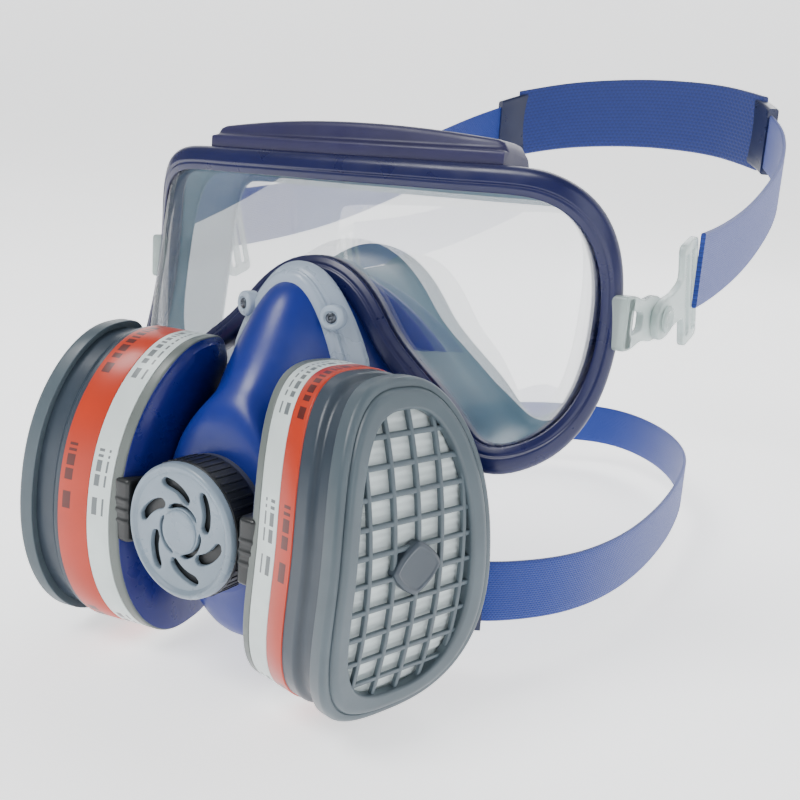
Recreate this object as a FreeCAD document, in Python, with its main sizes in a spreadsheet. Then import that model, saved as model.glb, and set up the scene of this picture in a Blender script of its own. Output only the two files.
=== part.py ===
"""Half-mask respirator joined to goggles, with two clip-on filters, a head strap and a neck strap.

Millimetres. The origin is on the symmetry plane, between the half mask and the goggles.
The wearer looks along -Y, +X is the wearer's left and +Z is up.
"""
import FreeCAD, Part
import math
import os
import Sketcher

Vector = FreeCAD.Vector
Rotation = FreeCAD.Rotation
Placement = FreeCAD.Placement

SIZES = {
    # filter cartridge, in its own frame: x to the rear, y up, z outwards, z = 0 on the grille's face
    "filter_width": 58.6, "filter_height": 96.0, "filter_egg": 0.15, "filter_power": 2.7,
    "bow_radius": 116.7, "filter_x": 68.1, "filter_y": -91.9, "filter_z": -17.9,
    "filter_yaw": 75.7, "filter_tilt": 2.2,
    "rim_depth": 5.5, "neck_depth": 13.0, "orange_top": 18.0, "orange_bottom": 24.8,
    "casing_bottom": 33.0, "neck_inset": 2.2, "casing_inset": 0.5, "casing_wall": 2.0,
    "label_gap": 0.02, "label_thick": 0.3, "window_inset": 8.2,
    "bar_width": 1.5, "bar_depth": 2.0, "bar_offset": 1.4, "bar_pitch": 8.6,
    "bar_rise": 7.5, "boss_radius": 7.5, "boss_drop": 2.2,
    "media_top": 2.6, "media_bottom": 11.5, "screen_bottom": 12.5,
    "bed_bottom": 30.0, "outlet_bottom": 31.2,
    "shell_top": 33.1, "shell_rim": 3.0, "shell_wall": 2.5,
    "spigot_radius": 10.3, "spigot_bore": 8.6, "spigot_end": 54.0, "shoulder": 46.0,
    "gasket_thick": 0.8, "gasket_radius": 13.4,
    "port_radius": 12.4, "port_bore": 10.36, "port_end": 58.5, "port_flange": 14.2,
    "port_flange_thick": 1.2, "inhale_seat": 1.5, "inhale_flap_radius": 9.8,
    "inhale_flap_thick": 0.7, "flap_gap": 0.15,
    "latch_inner": 21.5, "latch_outer": 27.6, "latch_front": 112.0, "latch_rear": 102.5,
    "latch_low": -31.5, "latch_high": -12.0, "latch_gap": 0.35, "latch_travel": 2.5,
    # exhale valve, axis along -Y
    "valve_z": -22.0, "front_face": 97.0, "seat_flange": 20.0, "seat_flange_thick": 2.0,
    "seat_tube": 16.3, "seat_bore": 13.6, "seat_depth": 5.0, "hub_radius": 3.6,
    "stem_radius": 1.7, "stem_hole": 1.75, "stem_end": 6.5, "spoke_width": 1.8, "seat_web": 1.5,
    "flap_radius": 15.6, "flap_thick": 1.0, "flap_lift": 0.2,
    "cover_radius": 20.3, "cover_wall": 1.8, "cover_depth": 14.0, "cover_face": 2.2,
    "vent_inner": 8.0, "vent_outer": 15.5,
    # half mask
    "mask_wall": 2.5, "face_radius": 62.0, "face_depth": -44.0, "frame_wall": 1.8,
    # goggles
    "lens_radius": 450.0, "lens_front": -55.9, "lens_flat": 65.8, "corner_radius": 33.0,
    "half_length": 101.8, "side_angle": 11.5, "goggle_top": 86.4, "goggle_bottom": -1.7,
    "end_length": 39.9, "end_power": 2.2, "goggle_tilt": 8.8, "goggle_rim": 8.0,
    "goggle_depth": 7.6, "rim_proud": 1.6, "lens_thick": 2.0, "lens_bite": 3.0,
    "skirt_depth": 20.0, "skirt_wall": 1.6, "skirt_inset": 6.0, "skirt_pinch": 3.9,
    "vent_half": 57.0, "vent_base": 87.0, "vent_rise": 9.8, "vent_ends": 5.2,
    "vent_front": -47.0, "vent_rear": -31.0, "vent_wall": 1.6,
    "saddle_thick": 6.0, "saddle_front": -68.0, "saddle_rear": -61.0, "saddle_low": 26.0,
    "rivet_radius": 2.6, "rivet_x": 17.2, "rivet_z": 38.5,
    # side clips and head strap
    "pivot_y": -8.5, "pivot_z": 44.6, "pin_radius": 2.5, "pin_clearance": 0.05,
    "arm_x": 93.2, "arm_thick": 2.6, "arm_reach": 23.0, "arm_half": 8.0, "arm_eye": 7.4,
    "buckle_gap": 0.4, "buckle_thick": 2.4, "buckle_angle": 18.0, "buckle_eye": 6.6,
    "buckle_neck": 5.2, "buckle_near": 17.0, "buckle_far": 29.0, "buckle_half": 17.2,
    "slot_half": 13.4, "slot_width": 3.2,
    "strap_width": 24.0, "strap_thick": 1.6, "pad_width": 34.0, "pad_thick": 4.4,
    "slide_margin": 3.0, "slide_thick": 5.0,
    # neck strap
    "neck_width": 20.4, "neck_z": -47.0, "neck_thick": 1.5,
    "hook_y": -48.0, "hook_x": 40.0, "hook_thick": 3.6, "hook_pin": 2.2,
}

document = FreeCAD.newDocument("respirator")
sheet = document.addObject("Spreadsheet::Sheet", "sizes")
for row, (alias, value) in enumerate(SIZES.items(), start=1):
    sheet.set("A%d" % row, alias)
    sheet.set("B%d" % row, str(value))
    sheet.setAlias("B%d" % row, alias)
document.recompute()


def size(alias):
    """One driving dimension, read back from the sheet."""
    return float(sheet.get(alias))


def bind(thing, **expressions):
    """Bind properties of an object to cells of the sheet."""
    for name, expression in expressions.items():
        thing.setExpression(name, expression)


# ---------------------------------------------------------------- helpers

NODES = []
UNIT_Z_TO_FRONT = Rotation(Vector(1, 0, 0), 90)
SIDE_ROTATION = Rotation(Vector(0, 1, 0), Vector(0, 0, 1), Vector(1, 0, 0), "ZXY")


def keep(thing, label, placement=None):
    """Name a finished sub-part and put it in its place."""
    thing.Label = label
    if placement is not None:
        thing.Placement = placement
    NODES.append(thing)
    return thing


def solid_feature(label, shape, placement=None):
    """A sub-part whose form follows a free curve."""
    thing = document.addObject("Part::Feature", "Form")
    thing.Shape = shape
    return keep(thing, label, placement or Placement())


def boolean(kind, base, tool):
    thing = document.addObject("Part::" + kind, kind)
    thing.Base = base
    thing.Tool = tool
    return thing


def chain(kind, base, tools):
    for tool in tools:
        base = boolean(kind, base, tool)
    return base


def mirrored(source, label):
    """The same sub-part on the other side of the symmetry plane."""
    thing = document.addObject("Part::Mirroring", "Mirror")
    thing.Source = source
    thing.Normal = Vector(1, 0, 0)
    return keep(thing, label)


def box(length, width, height, corner):
    thing = document.addObject("Part::Box", "Box")
    thing.Length = length
    thing.Width = width
    thing.Height = height
    thing.Placement.Base = corner
    return thing


def rod(radius, length, placement):
    """A cylinder with its radius bound to the sheet."""
    thing = document.addObject("Part::Cylinder", "Rod")
    bind(thing, Radius=radius)
    thing.Height = length
    thing.Placement = placement
    return thing


def origin_plane(body, role):
    return [plane for plane in body.Origin.OriginFeatures if plane.Role == role][0]


def new_sketch(body, role, name):
    sketch = body.newObject("Sketcher::SketchObject", name)
    sketch.AttachmentSupport = (origin_plane(body, role), "")
    sketch.MapMode = "FlatFace"
    return sketch


def pin_corner(sketch, index, across, up):
    """Fix one corner of an outline with two dimensions from the sheet (0 is on the axis)."""
    for kind, axis, expression in (("DistanceX", -2, across), ("DistanceY", -1, up)):
        if expression == "0":
            sketch.addConstraint(Sketcher.Constraint("PointOnObject", index, 1, axis))
            continue
        number = sketch.addConstraint(Sketcher.Constraint(kind, -1, 1, index, 1, 5.0))
        sketch.setExpression("Constraints[%d]" % number, expression)


def polygon(sketch, corners):
    """A closed outline of straight edges through corners given as pairs of expressions."""
    count = len(corners)
    start = [Vector(9 + 5 * math.cos(2 * math.pi * k / count), 9 + 5 * math.sin(2 * math.pi * k / count), 0)
             for k in range(count)]
    for k in range(count):
        sketch.addGeometry(Part.LineSegment(start[k], start[(k + 1) % count]))
    for k in range(count):
        sketch.addConstraint(Sketcher.Constraint("Coincident", k, 2, (k + 1) % count, 1))
    for k, (across, up) in enumerate(corners):
        pin_corner(sketch, k, across, up)


def turned(name, corners):
    """A body turned about its own Z axis from a half section of (radius, height) corners."""
    body = document.addObject("PartDesign::Body", name)
    sketch = new_sketch(body, "XZ_Plane", "Section")
    polygon(sketch, corners)
    turn = body.newObject("PartDesign::Revolution", "Turn")
    turn.Profile = sketch
    turn.ReferenceAxis = (sketch, ["V_Axis"])
    turn.Angle = 360
    sketch.Visibility = False
    return body


def smooth_wire(points, closed=False):
    curve = Part.BSplineCurve()
    curve.interpolate(points, PeriodicFlag=closed)
    return curve


def band_face(points, thickness):
    """The plan of a band of even thickness that follows a smooth curve through the points."""
    curve = smooth_wire(points)
    first, last = curve.FirstParameter, curve.LastParameter
    steps = 4 * len(points)
    sides = ([], [])
    for k in range(steps + 1):
        at = first + (last - first) * k / steps
        middle = curve.value(at)
        along = curve.tangent(at)[0]
        across = Vector(-along.y, along.x, 0) * (thickness / 2)
        sides[0].append(middle + across)
        sides[1].append(middle - across)
    edges = [smooth_wire(sides[0]).toShape(), Part.LineSegment(sides[0][-1], sides[1][-1]).toShape(),
             smooth_wire(sides[1]).toShape(), Part.LineSegment(sides[1][0], sides[0][0]).toShape()]
    return Part.Face(Part.Wire(Part.__sortEdges__(edges)))


# ---------------------------------------------------------------- filter cartridge

YAW = math.radians(size("filter_yaw"))
TILT = math.radians(size("filter_tilt"))
OUTWARD_LEVEL = Vector(math.sin(YAW), -math.cos(YAW), 0)
UPWARD = Vector(0, 0, math.cos(TILT)) - OUTWARD_LEVEL * math.sin(TILT)
OUTWARD = OUTWARD_LEVEL * math.cos(TILT) + Vector(0, 0, math.sin(TILT))
REARWARD = UPWARD.cross(OUTWARD)
FILTER_PLACE = Placement(
    Vector(size("filter_x"), size("filter_y"), size("filter_z")),
    Rotation(REARWARD, UPWARD, OUTWARD, "ZXY"))


def filter_outline(inset, height=0.0, scale=1.0):
    """The egg-shaped outline of the cartridge, drawn in by an inset or scaled about its centre."""
    half_width = (size("filter_width") / 2 - inset) * scale
    half_height = (size("filter_height") / 2 - inset) * scale
    power = 2 / size("filter_power")
    points = []
    for k in range(36):
        angle = 2 * math.pi * (k + 0.5) / 36
        across = math.copysign(abs(math.cos(angle)) ** power, math.cos(angle))
        up = math.copysign(abs(math.sin(angle)) ** power, math.sin(angle))
        points.append(Vector(across * half_width * (1 - size("filter_egg") * up), up * half_height, height))
    return Part.Wire([smooth_wire(points, closed=True).toShape()])


def prism(inset):
    """A long prism of the cartridge's outline."""
    outline = document.addObject("Part::Feature", "Outline")
    outline.Shape = Part.Face(filter_outline(inset))
    thing = document.addObject("Part::Extrusion", "Prism")
    thing.Base = outline
    thing.DirMode = "Custom"
    thing.Dir = Vector(0, 0, 1)
    thing.LengthFwd = 5
    thing.LengthRev = 60
    thing.Solid = True
    return thing


def bow(depth):
    """The big cylinder whose surface bows the cartridge, at a depth below the grille's face."""
    thing = document.addObject("Part::Cylinder", "Bow")
    bind(thing, Radius="sizes.bow_radius")
    thing.Height = 120
    centre = Vector(-60, 0, -size("bow_radius") - depth)
    thing.Placement = Placement(centre, Rotation(Vector(0, 1, 0), 90))
    return thing


def layer(inset, top, bottom, inner=None):
    """One bowed layer of the cartridge between two depths, hollow where an inner inset is given."""
    thing = boolean("Cut", boolean("Common", prism(inset), bow(top)), bow(bottom))
    if inner is not None:
        thing = boolean("Cut", thing, prism(inner))
    return thing


def grille_bars():
    """The square grid over the filter's window, as one shape."""
    width = size("bar_width")
    window = Part.Face(filter_outline(size("window_inset") - 1.0)).extrude(Vector(0, 0, -30))
    bars = []
    for k in range(-2, 3):
        across = size("bar_offset") + k * size("bar_pitch")
        bars.append(Part.makeBox(width, 100, 40, Vector(across - width / 2, -50, -35)))
    for k in range(-5, 5):
        up = (k + 0.5) * size("bar_rise")
        bars.append(Part.makeBox(60, width, 40, Vector(-30, up - width / 2, -35)))
    grid = bars[0].multiFuse(bars[1:]).common(window)
    thing = document.addObject("Part::Feature", "Grid")
    thing.Shape = grid
    return boolean("Cut", boolean("Common", thing, bow(0.4)), bow(size("bar_depth") + 0.4))


def grille():
    rim = layer(0, 0, size("rim_depth"), size("window_inset"))
    inside = layer(size("casing_wall") + size("neck_inset"), size("media_top"), size("rim_depth") + 1)
    rim = boolean("Cut", rim, inside)
    badge = rod("sizes.boss_radius", 6, Placement(Vector(0, -size("boss_drop"), -7), Rotation()))
    badge = boolean("Cut", badge, bow(size("media_top") - 0.1))
    return chain("Fuse", rim, [grille_bars(), badge])


def filter_casing():
    neck = layer(size("neck_inset"), size("rim_depth") + 0.05, size("neck_depth") + 0.1)
    barrel = layer(size("casing_inset"), size("neck_depth"), size("casing_bottom"))
    hollow = prism(size("casing_inset") + size("casing_wall") + 1.7)
    return boolean("Cut", boolean("Fuse", neck, barrel), hollow)


def label_band(top, bottom):
    outer = size("casing_inset") - size("label_gap") - size("label_thick")
    return layer(outer, top, bottom, size("casing_inset") - size("label_gap"))


def cone_of_outlines(shrink, tip):
    """The tapered back of the cartridge, drawn in by a wall thickness."""
    stations = [(0.36, -tip), (0.62, -43.5), (0.86, -40.5), (0.95, -37.0), (0.95, -24.0)]
    wires = []
    for scale, height in stations:
        wires.append(filter_outline(shrink, height + shrink, scale))
    thing = document.addObject("Part::Feature", "Taper")
    thing.Shape = Part.makeLoft(wires, True, True)
    return thing


def filter_shell():
    """The blue back of the cartridge: bowed rim, taper and the spigot that plugs into the mask."""
    rim = layer(0.9, size("shell_top"), size("shell_top") + size("shell_rim"))
    taper = boolean("Common", cone_of_outlines(0, size("shoulder")), bow(size("shell_top") + 0.4))
    spigot = rod("sizes.spigot_radius", size("spigot_end") - size("shoulder") + 2,
                 Placement(Vector(0, 0, -size("spigot_end")), Rotation()))
    outside = chain("Fuse", rim, [taper, spigot])
    hollow = cone_of_outlines(size("shell_wall"), size("shoulder"))
    bore = rod("sizes.spigot_bore", 40, Placement(Vector(0, 0, -size("spigot_end") - 1), Rotation()))
    return chain("Cut", outside, [hollow, bore])


def latch_box(gap, travel):
    """The block of the release latch, grown by a gap and lengthened by its travel."""
    wide = size("latch_outer") - size("latch_inner") + 2 * gap
    deep = size("latch_front") - size("latch_rear") + gap + travel + (30 if gap else 0)
    tall = size("latch_high") - size("latch_low") + 2 * gap
    front = -size("latch_front") - (30 if gap else 0)
    return box(wide, deep, tall, Vector(size("latch_inner") - gap, front, size("latch_low") - gap))


def filter_latch():
    block = latch_box(0, 0)
    document.recompute()
    edges = [k + 1 for k, edge in enumerate(block.Shape.Edges) if edge.BoundBox.YLength < 1e-6
             and abs(edge.CenterOfMass.y + size("latch_front")) < 1e-6]
    soft = document.addObject("Part::Fillet", "Soft")
    soft.Base = block
    soft.Edges = [(k, 1.2, 1.2) for k in edges]
    return soft


def make_filters():
    inner = size("casing_inset") + size("casing_wall") + 1.75
    layers = {
        "particle_filter": (size("media_top") + 0.05, size("media_bottom")),
        "media_screen": (size("media_bottom") + 0.05, size("screen_bottom")),
        "charcoal_bed": (size("screen_bottom") + 0.05, size("bed_bottom")),
        "outlet_screen": (size("bed_bottom") + 0.05, size("outlet_bottom")),
    }
    pieces = {
        "grille": grille(),
        "filter_casing": filter_casing(),
        "orange_label": label_band(size("orange_top"), size("orange_bottom")),
        "white_label": label_band(size("orange_bottom"), size("casing_bottom")),
    }
    for name, (top, bottom) in layers.items():
        pieces[name] = layer(inner, top, bottom)
    for name, piece in pieces.items():
        left = keep(piece, name + "_left", FILTER_PLACE)
        mirrored(left, name + "_right")
    shell = filter_shell()
    shell.Placement = FILTER_PLACE
    left = keep(boolean("Cut", shell, latch_box(size("latch_gap"), size("latch_travel"))), "filter_shell_left")
    mirrored(left, "filter_shell_right")
    left = keep(filter_latch(), "filter_latch_left")
    mirrored(left, "filter_latch_right")


# ---------------------------------------------------------------- inhale ports

def port_place(depth):
    """A place on the cartridge's axis, at a depth below the grille's face, +Z outwards."""
    return Placement(FILTER_PLACE.Base - OUTWARD * depth, FILTER_PLACE.Rotation)


def filter_port():
    """The threaded-in ring that the spigot plugs into, with the inhale valve's seat at its end."""
    length = "(sizes.port_end - sizes.shoulder - sizes.gasket_thick)"
    body = turned("PortRing", [
        ("sizes.port_bore", "0"), ("sizes.port_radius", "0"),
        ("sizes.port_radius", length + " - sizes.port_flange_thick"),
        ("sizes.port_flange", length + " - sizes.port_flange_thick"),
        ("sizes.port_flange", length), ("sizes.port_bore", length)])
    web = turned("PortWeb", [("0", "0"), ("sizes.port_bore + 0.5", "0"),
                             ("sizes.port_bore + 0.5", "sizes.inhale_seat"), ("0", "sizes.inhale_seat")])
    holes = []
    for k in range(4):
        angle = math.pi / 4 + k * math.pi / 2
        window = document.addObject("Part::Cylinder", "Window")
        window.Radius = 3.4
        window.Height = 6
        window.Placement.Base = Vector(5.9 * math.cos(angle), 5.9 * math.sin(angle), -2)
        holes.append(window)
    stem = rod("sizes.stem_hole", 6, Placement(Vector(0, 0, -2), Rotation()))
    return boolean("Fuse", body, chain("Cut", web, holes + [stem]))


def inhale_flap():
    """A thin rubber disc inside the port, with a stem through the middle of the seat."""
    low = "sizes.flap_gap"
    return turned("InhaleFlap", [
        ("0", "0.0001"), ("sizes.inhale_flap_radius", "0.0001"),
        ("sizes.inhale_flap_radius", "sizes.inhale_flap_thick"),
        ("sizes.stem_radius", "sizes.inhale_flap_thick"),
        ("sizes.stem_radius", "sizes.inhale_flap_thick + sizes.inhale_seat + " + low + " + 0.8"),
        ("0", "sizes.inhale_flap_thick + sizes.inhale_seat + " + low + " + 0.8")])


def port_gasket():
    return turned("Gasket", [
        ("sizes.spigot_radius + 0.1", "0.04"), ("sizes.gasket_radius", "0.04"),
        ("sizes.gasket_radius", "sizes.gasket_thick - 0.04"),
        ("sizes.spigot_radius + 0.1", "sizes.gasket_thick - 0.04")])


def make_ports():
    left = keep(filter_port(), "filter_port_left", port_place(size("port_end")))
    mirrored(left, "filter_port_right")
    depth = size("port_end") + size("flap_gap") + size("inhale_flap_thick")
    left = keep(inhale_flap(), "inhale_flap_left", port_place(depth))
    mirrored(left, "inhale_flap_right")
    left = keep(port_gasket(), "port_gasket_left", port_place(size("shoulder") + size("gasket_thick")))
    mirrored(left, "port_gasket_right")


# ---------------------------------------------------------------- exhale valve

def valve_place(depth):
    """A place on the valve's axis, this far in front of the symmetry origin, +Z to the front."""
    return Placement(Vector(0, -depth, size("valve_z")), UNIT_Z_TO_FRONT)


def exhale_valve_seat():
    """A flanged ring in the mask's front opening, with a hub on four spokes."""
    ring = turned("SeatRing", [
        ("sizes.seat_bore", "0"), ("sizes.seat_tube", "0"),
        ("sizes.seat_tube", "sizes.seat_depth - sizes.seat_flange_thick"),
        ("sizes.seat_flange", "sizes.seat_depth - sizes.seat_flange_thick"),
        ("sizes.seat_flange", "sizes.seat_depth"), ("sizes.seat_bore", "sizes.seat_depth")])
    top = size("seat_depth") - size("seat_web") - 0.3
    width = size("spoke_width")
    reach = size("seat_bore") + 0.5
    spokes = [box(2 * reach, width, size("seat_web"), Vector(-reach, -width / 2, top)),
              box(width, 2 * reach, size("seat_web"), Vector(-width / 2, -reach, top))]
    hub = rod("sizes.hub_radius", size("seat_web"), Placement(Vector(0, 0, top), Rotation()))
    stem = rod("sizes.stem_hole", 10, Placement(Vector(0, 0, -1), Rotation()))
    return boolean("Cut", chain("Fuse", ring, spokes + [hub]), stem)


def exhale_flap():
    """The rubber mushroom valve: a disc on a stem with a small bulb at its end."""
    stem = "sizes.stem_end"
    return turned("ExhaleFlap", [
        ("0", "0"), ("sizes.stem_radius", "0"), ("sizes.stem_radius", stem),
        ("sizes.flap_radius", stem), ("sizes.flap_radius", stem + " + sizes.flap_thick"),
        ("0", stem + " + sizes.flap_thick")])


def exhale_valve_cover():
    """The round cover over the valve, with six curved vents around its middle."""
    body = turned("Cover", [
        ("0", "sizes.cover_depth - sizes.cover_face"),
        ("sizes.cover_radius - sizes.cover_wall", "sizes.cover_depth - sizes.cover_face"),
        ("sizes.cover_radius - sizes.cover_wall", "0"), ("sizes.cover_radius", "0"),
        ("sizes.cover_radius", "sizes.cover_depth - 1.4"),
        ("sizes.cover_radius - 1.4", "sizes.cover_depth"), ("0", "sizes.cover_depth")])
    document.recompute()
    sketch = new_sketch(body, "XY_Plane", "Vent")
    inner = size("vent_inner")
    outer = size("vent_outer")
    low = math.radians(10)
    high = math.radians(42)
    sketch.addGeometry(Part.ArcOfCircle(Part.Circle(Vector(0, 0, 0), Vector(0, 0, 1), inner), low, high))
    sketch.addGeometry(Part.ArcOfCircle(Part.Circle(Vector(0, 0, 0), Vector(0, 0, 1), outer), low, high))
    ends = [[Vector(radius * math.cos(angle), radius * math.sin(angle), 0) for radius in (inner, outer)]
            for angle in (low, high)]
    for near, far in ends:
        sketch.addGeometry(Part.LineSegment(near, far))
    for first, point, second, other in ((0, 1, 2, 1), (0, 2, 3, 1), (1, 1, 2, 2), (1, 2, 3, 2)):
        sketch.addConstraint(Sketcher.Constraint("Coincident", first, point, second, other))
    for arc in (0, 1):
        sketch.addConstraint(Sketcher.Constraint("Coincident", arc, 3, -1, 1))
    for arc, radius in ((0, "sizes.vent_inner"), (1, "sizes.vent_outer")):
        number = sketch.addConstraint(Sketcher.Constraint("Radius", arc, size(radius.split(".")[1])))
        sketch.setExpression("Constraints[%d]" % number, radius)
    vent = body.newObject("PartDesign::Pocket", "VentCut")
    vent.Profile = sketch
    vent.Type = 1
    vent.Midplane = True
    document.recompute()
    around = body.newObject("PartDesign::PolarPattern", "Vents")
    around.Originals = [vent]
    around.Axis = (sketch, ["N_Axis"])
    around.Angle = 360
    around.Occurrences = 6
    body.Tip = around
    return body


def make_exhale_valve():
    front = size("front_face")
    flange = size("seat_flange_thick")
    keep(exhale_valve_seat(), "exhale_valve_seat", valve_place(front - size("seat_depth") + flange))
    flap = front + flange + size("flap_lift") - size("stem_end")
    keep(exhale_flap(), "exhale_flap", valve_place(flap))
    keep(exhale_valve_cover(), "exhale_valve_cover", valve_place(front + flange + 0.02))


# ---------------------------------------------------------------- half mask

# each section across the mask: y, half width, lowest z, highest z
MASK_SECTIONS = [
    (-97, 19.4, -47, -0.6), (-89, 20.3, -61, 17), (-79, 22.2, -66, 35.5), (-69, 25.6, -67, 46.9),
    (-58, 32.5, -67, 48), (-45, 41.5, -66, 49.5), (-30, 46.5, -65, 51), (-12, 48, -64, 52)]


def mask_loft(shrink):
    """The pear-shaped body of the half mask, drawn in by a wall thickness."""
    rings = []
    for y, half, low, high in MASK_SECTIONS:
        ring = document.addObject("Part::Ellipse", "Ring")
        ring.MajorRadius = (high - low) / 2 - shrink
        ring.MinorRadius = half - shrink
        forward = shrink if y == MASK_SECTIONS[0][0] else 0
        ring.Placement = Placement(Vector(0, y + forward, (low + high) / 2),
                                   Rotation(Vector(0, 0, 1), Vector(1, 0, 0), Vector(0, 1, 0), "ZXY"))
        rings.append(ring)
    thing = document.addObject("Part::Loft", "MaskLoft")
    thing.Sections = rings
    thing.Solid = True
    return thing


def face_side():
    """The wearer's face as a big upright cylinder, which shapes the edge of the mask."""
    thing = document.addObject("Part::Cylinder", "FaceSide")
    bind(thing, Radius="sizes.face_radius")
    thing.Height = 300
    thing.Placement.Base = Vector(0, size("face_depth") + size("face_radius"), -150)
    return thing


def port_bores(radius, depth=62.0):
    """The two holes on the cartridges' axes, from a depth below the grille's face outwards."""
    bores = []
    for side in (1, -1):
        axis = Vector(OUTWARD.x * side, OUTWARD.y, OUTWARD.z)
        foot = Vector(FILTER_PLACE.Base.x * side, FILTER_PLACE.Base.y, FILTER_PLACE.Base.z) - axis * depth
        bores.append(rod(radius, 30, Placement(foot, Rotation(Vector(0, 0, 1), axis))))
    return bores


def mask_body():
    rear = box(200, 60, 300, Vector(-100, -18, -150))
    opening = rod("sizes.seat_tube + 0.05", 20, valve_place(size("front_face") - 10))
    flange_depth = size("shoulder") + size("gasket_thick") + size("port_flange_thick") + 0.05
    cuts = [mask_loft(size("mask_wall")), face_side(), rear, opening]
    cuts += port_bores("sizes.port_radius + 0.05") + port_bores("sizes.port_flange + 0.05", flange_depth)
    return chain("Cut", mask_loft(0), cuts)


def front_frame():
    """The stiff plate inside the mask that backs the valve seat."""
    front = size("seat_flange_thick") - size("seat_depth") - 0.1 + size("front_face")
    plate = box(60, size("frame_wall"), 100, Vector(-30, -front, -60))
    opening = rod("sizes.seat_bore", 20, valve_place(size("front_face") - 10))
    return boolean("Cut", boolean("Common", mask_loft(size("mask_wall") + 0.1), plate), opening)


def nose_saddle():
    """The clear saddle that joins the nose of the mask to the goggles' nose arch."""
    outer = mask_loft(-size("saddle_thick"))
    inner = mask_loft(-0.1)
    depth = size("saddle_rear") - size("saddle_front")
    band = box(90, depth, 60, Vector(-45, size("saddle_front"), size("saddle_low")))
    return boolean("Common", boolean("Cut", outer, inner), band)


def saddle_rivets():
    """Two dome-headed rivets through the front of the saddle."""
    rivets = []
    for side in (1, -1):
        place = Placement(Vector(side * size("rivet_x"), size("saddle_front") - 0.02, size("rivet_z")), UNIT_Z_TO_FRONT)
        head = rod("sizes.rivet_radius", 0.8, place)
        dome = document.addObject("Part::Cone", "Dome")
        bind(dome, Radius1="sizes.rivet_radius", Radius2="sizes.rivet_radius * 0.55")
        dome.Height = 0.8
        dome.Placement = Placement(place.Base - Vector(0, 0.8, 0), UNIT_Z_TO_FRONT)
        rivets.append(boolean("Fuse", head, dome))
    group = document.addObject("Part::Compound", "Rivets")
    group.Links = rivets
    return group


def neck_anchor():
    """The headed stub on the mask's lower cheek that the neck strap's hook turns on."""
    foot = Vector(22, size("hook_y"), size("neck_z"))
    stub = rod("sizes.hook_pin", size("hook_x") + size("hook_thick") + 0.3 - 22, Placement(foot, SIDE_ROTATION))
    tip = Vector(size("hook_x") + size("hook_thick") + 0.3, size("hook_y"), size("neck_z"))
    head = rod("sizes.hook_pin + 1.2", 1.2, Placement(tip, SIDE_ROTATION))
    return boolean("Cut", boolean("Fuse", stub, head), mask_loft(-0.02))


def neck_hook():
    """The frame at one end of the neck strap, with an eye that turns on the mask's stub."""
    thick = size("hook_thick")
    half = size("neck_width") / 2 + 2
    eye = box(thick, 8.5, 8, Vector(size("hook_x"), size("hook_y") - 3.5, size("neck_z") - 4))
    frame = box(10, 2.4, 2 * half, Vector(size("hook_x"), size("hook_y") + 3.8, size("neck_z") - half))
    slot = box(3.6, 6, 2 * half - 4, Vector(size("hook_x") + 4.6, size("hook_y") + 2, size("neck_z") - half + 2))
    foot = Vector(size("hook_x") - 2, size("hook_y"), size("neck_z"))
    hole = rod("sizes.hook_pin + sizes.pin_clearance", 12, Placement(foot, SIDE_ROTATION))
    return chain("Cut", boolean("Fuse", eye, frame), [slot, hole])


def make_half_mask():
    keep(mask_body(), "mask_body")
    keep(front_frame(), "front_frame")
    keep(nose_saddle(), "nose_saddle")
    keep(saddle_rivets(), "saddle_rivets")
    left = keep(neck_anchor(), "neck_anchor_left")
    mirrored(left, "neck_anchor_right")
    left = keep(neck_hook(), "neck_hook_left")
    mirrored(left, "neck_hook_right")


# ---------------------------------------------------------------- goggles

GOGGLE_MIDDLE = (size("goggle_top") + size("goggle_bottom")) / 2 - 1.65


def wrap(length, height, proud=0.0):
    """A point of the flat lens pattern, wrapped round the goggles' plan; proud is to the front."""
    side = math.copysign(1, length)
    length = abs(length)
    bend = size("lens_flat") / size("lens_radius")
    stop = math.pi / 2 - math.radians(size("side_angle"))
    corner = size("corner_radius")
    reach = size("lens_flat") + corner * (stop - bend)
    if length < size("lens_flat"):
        angle = length / size("lens_radius")
        x = size("lens_radius") * math.sin(angle)
        y = size("lens_radius") * (1 - math.cos(angle))
    else:
        angle = bend + (min(length, reach) - size("lens_flat")) / corner
        x = size("lens_radius") * math.sin(bend) + corner * (math.sin(angle) - math.sin(bend))
        y = size("lens_radius") * (1 - math.cos(bend)) + corner * (math.cos(bend) - math.cos(angle))
    if length > reach:
        x += (length - reach) * math.cos(stop)
        y += (length - reach) * math.sin(stop)
    x += proud * math.sin(angle)
    y -= proud * math.cos(angle)
    lean = math.sin(math.radians(size("goggle_tilt"))) * (height - GOGGLE_MIDDLE)
    return Vector(side * x, size("lens_front") + y + lean, height)


# the goggles' outline from the lower edge up and over the nose, on the wearer's left
NOSE_ARCH = [(60, 0.5), (49.5, 9.5), (40.6, 16.8), (32.5, 23), (25, 29.8), (19, 36.8), (13.5, 42), (7, 45.6), (0, 46.8)]


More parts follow.
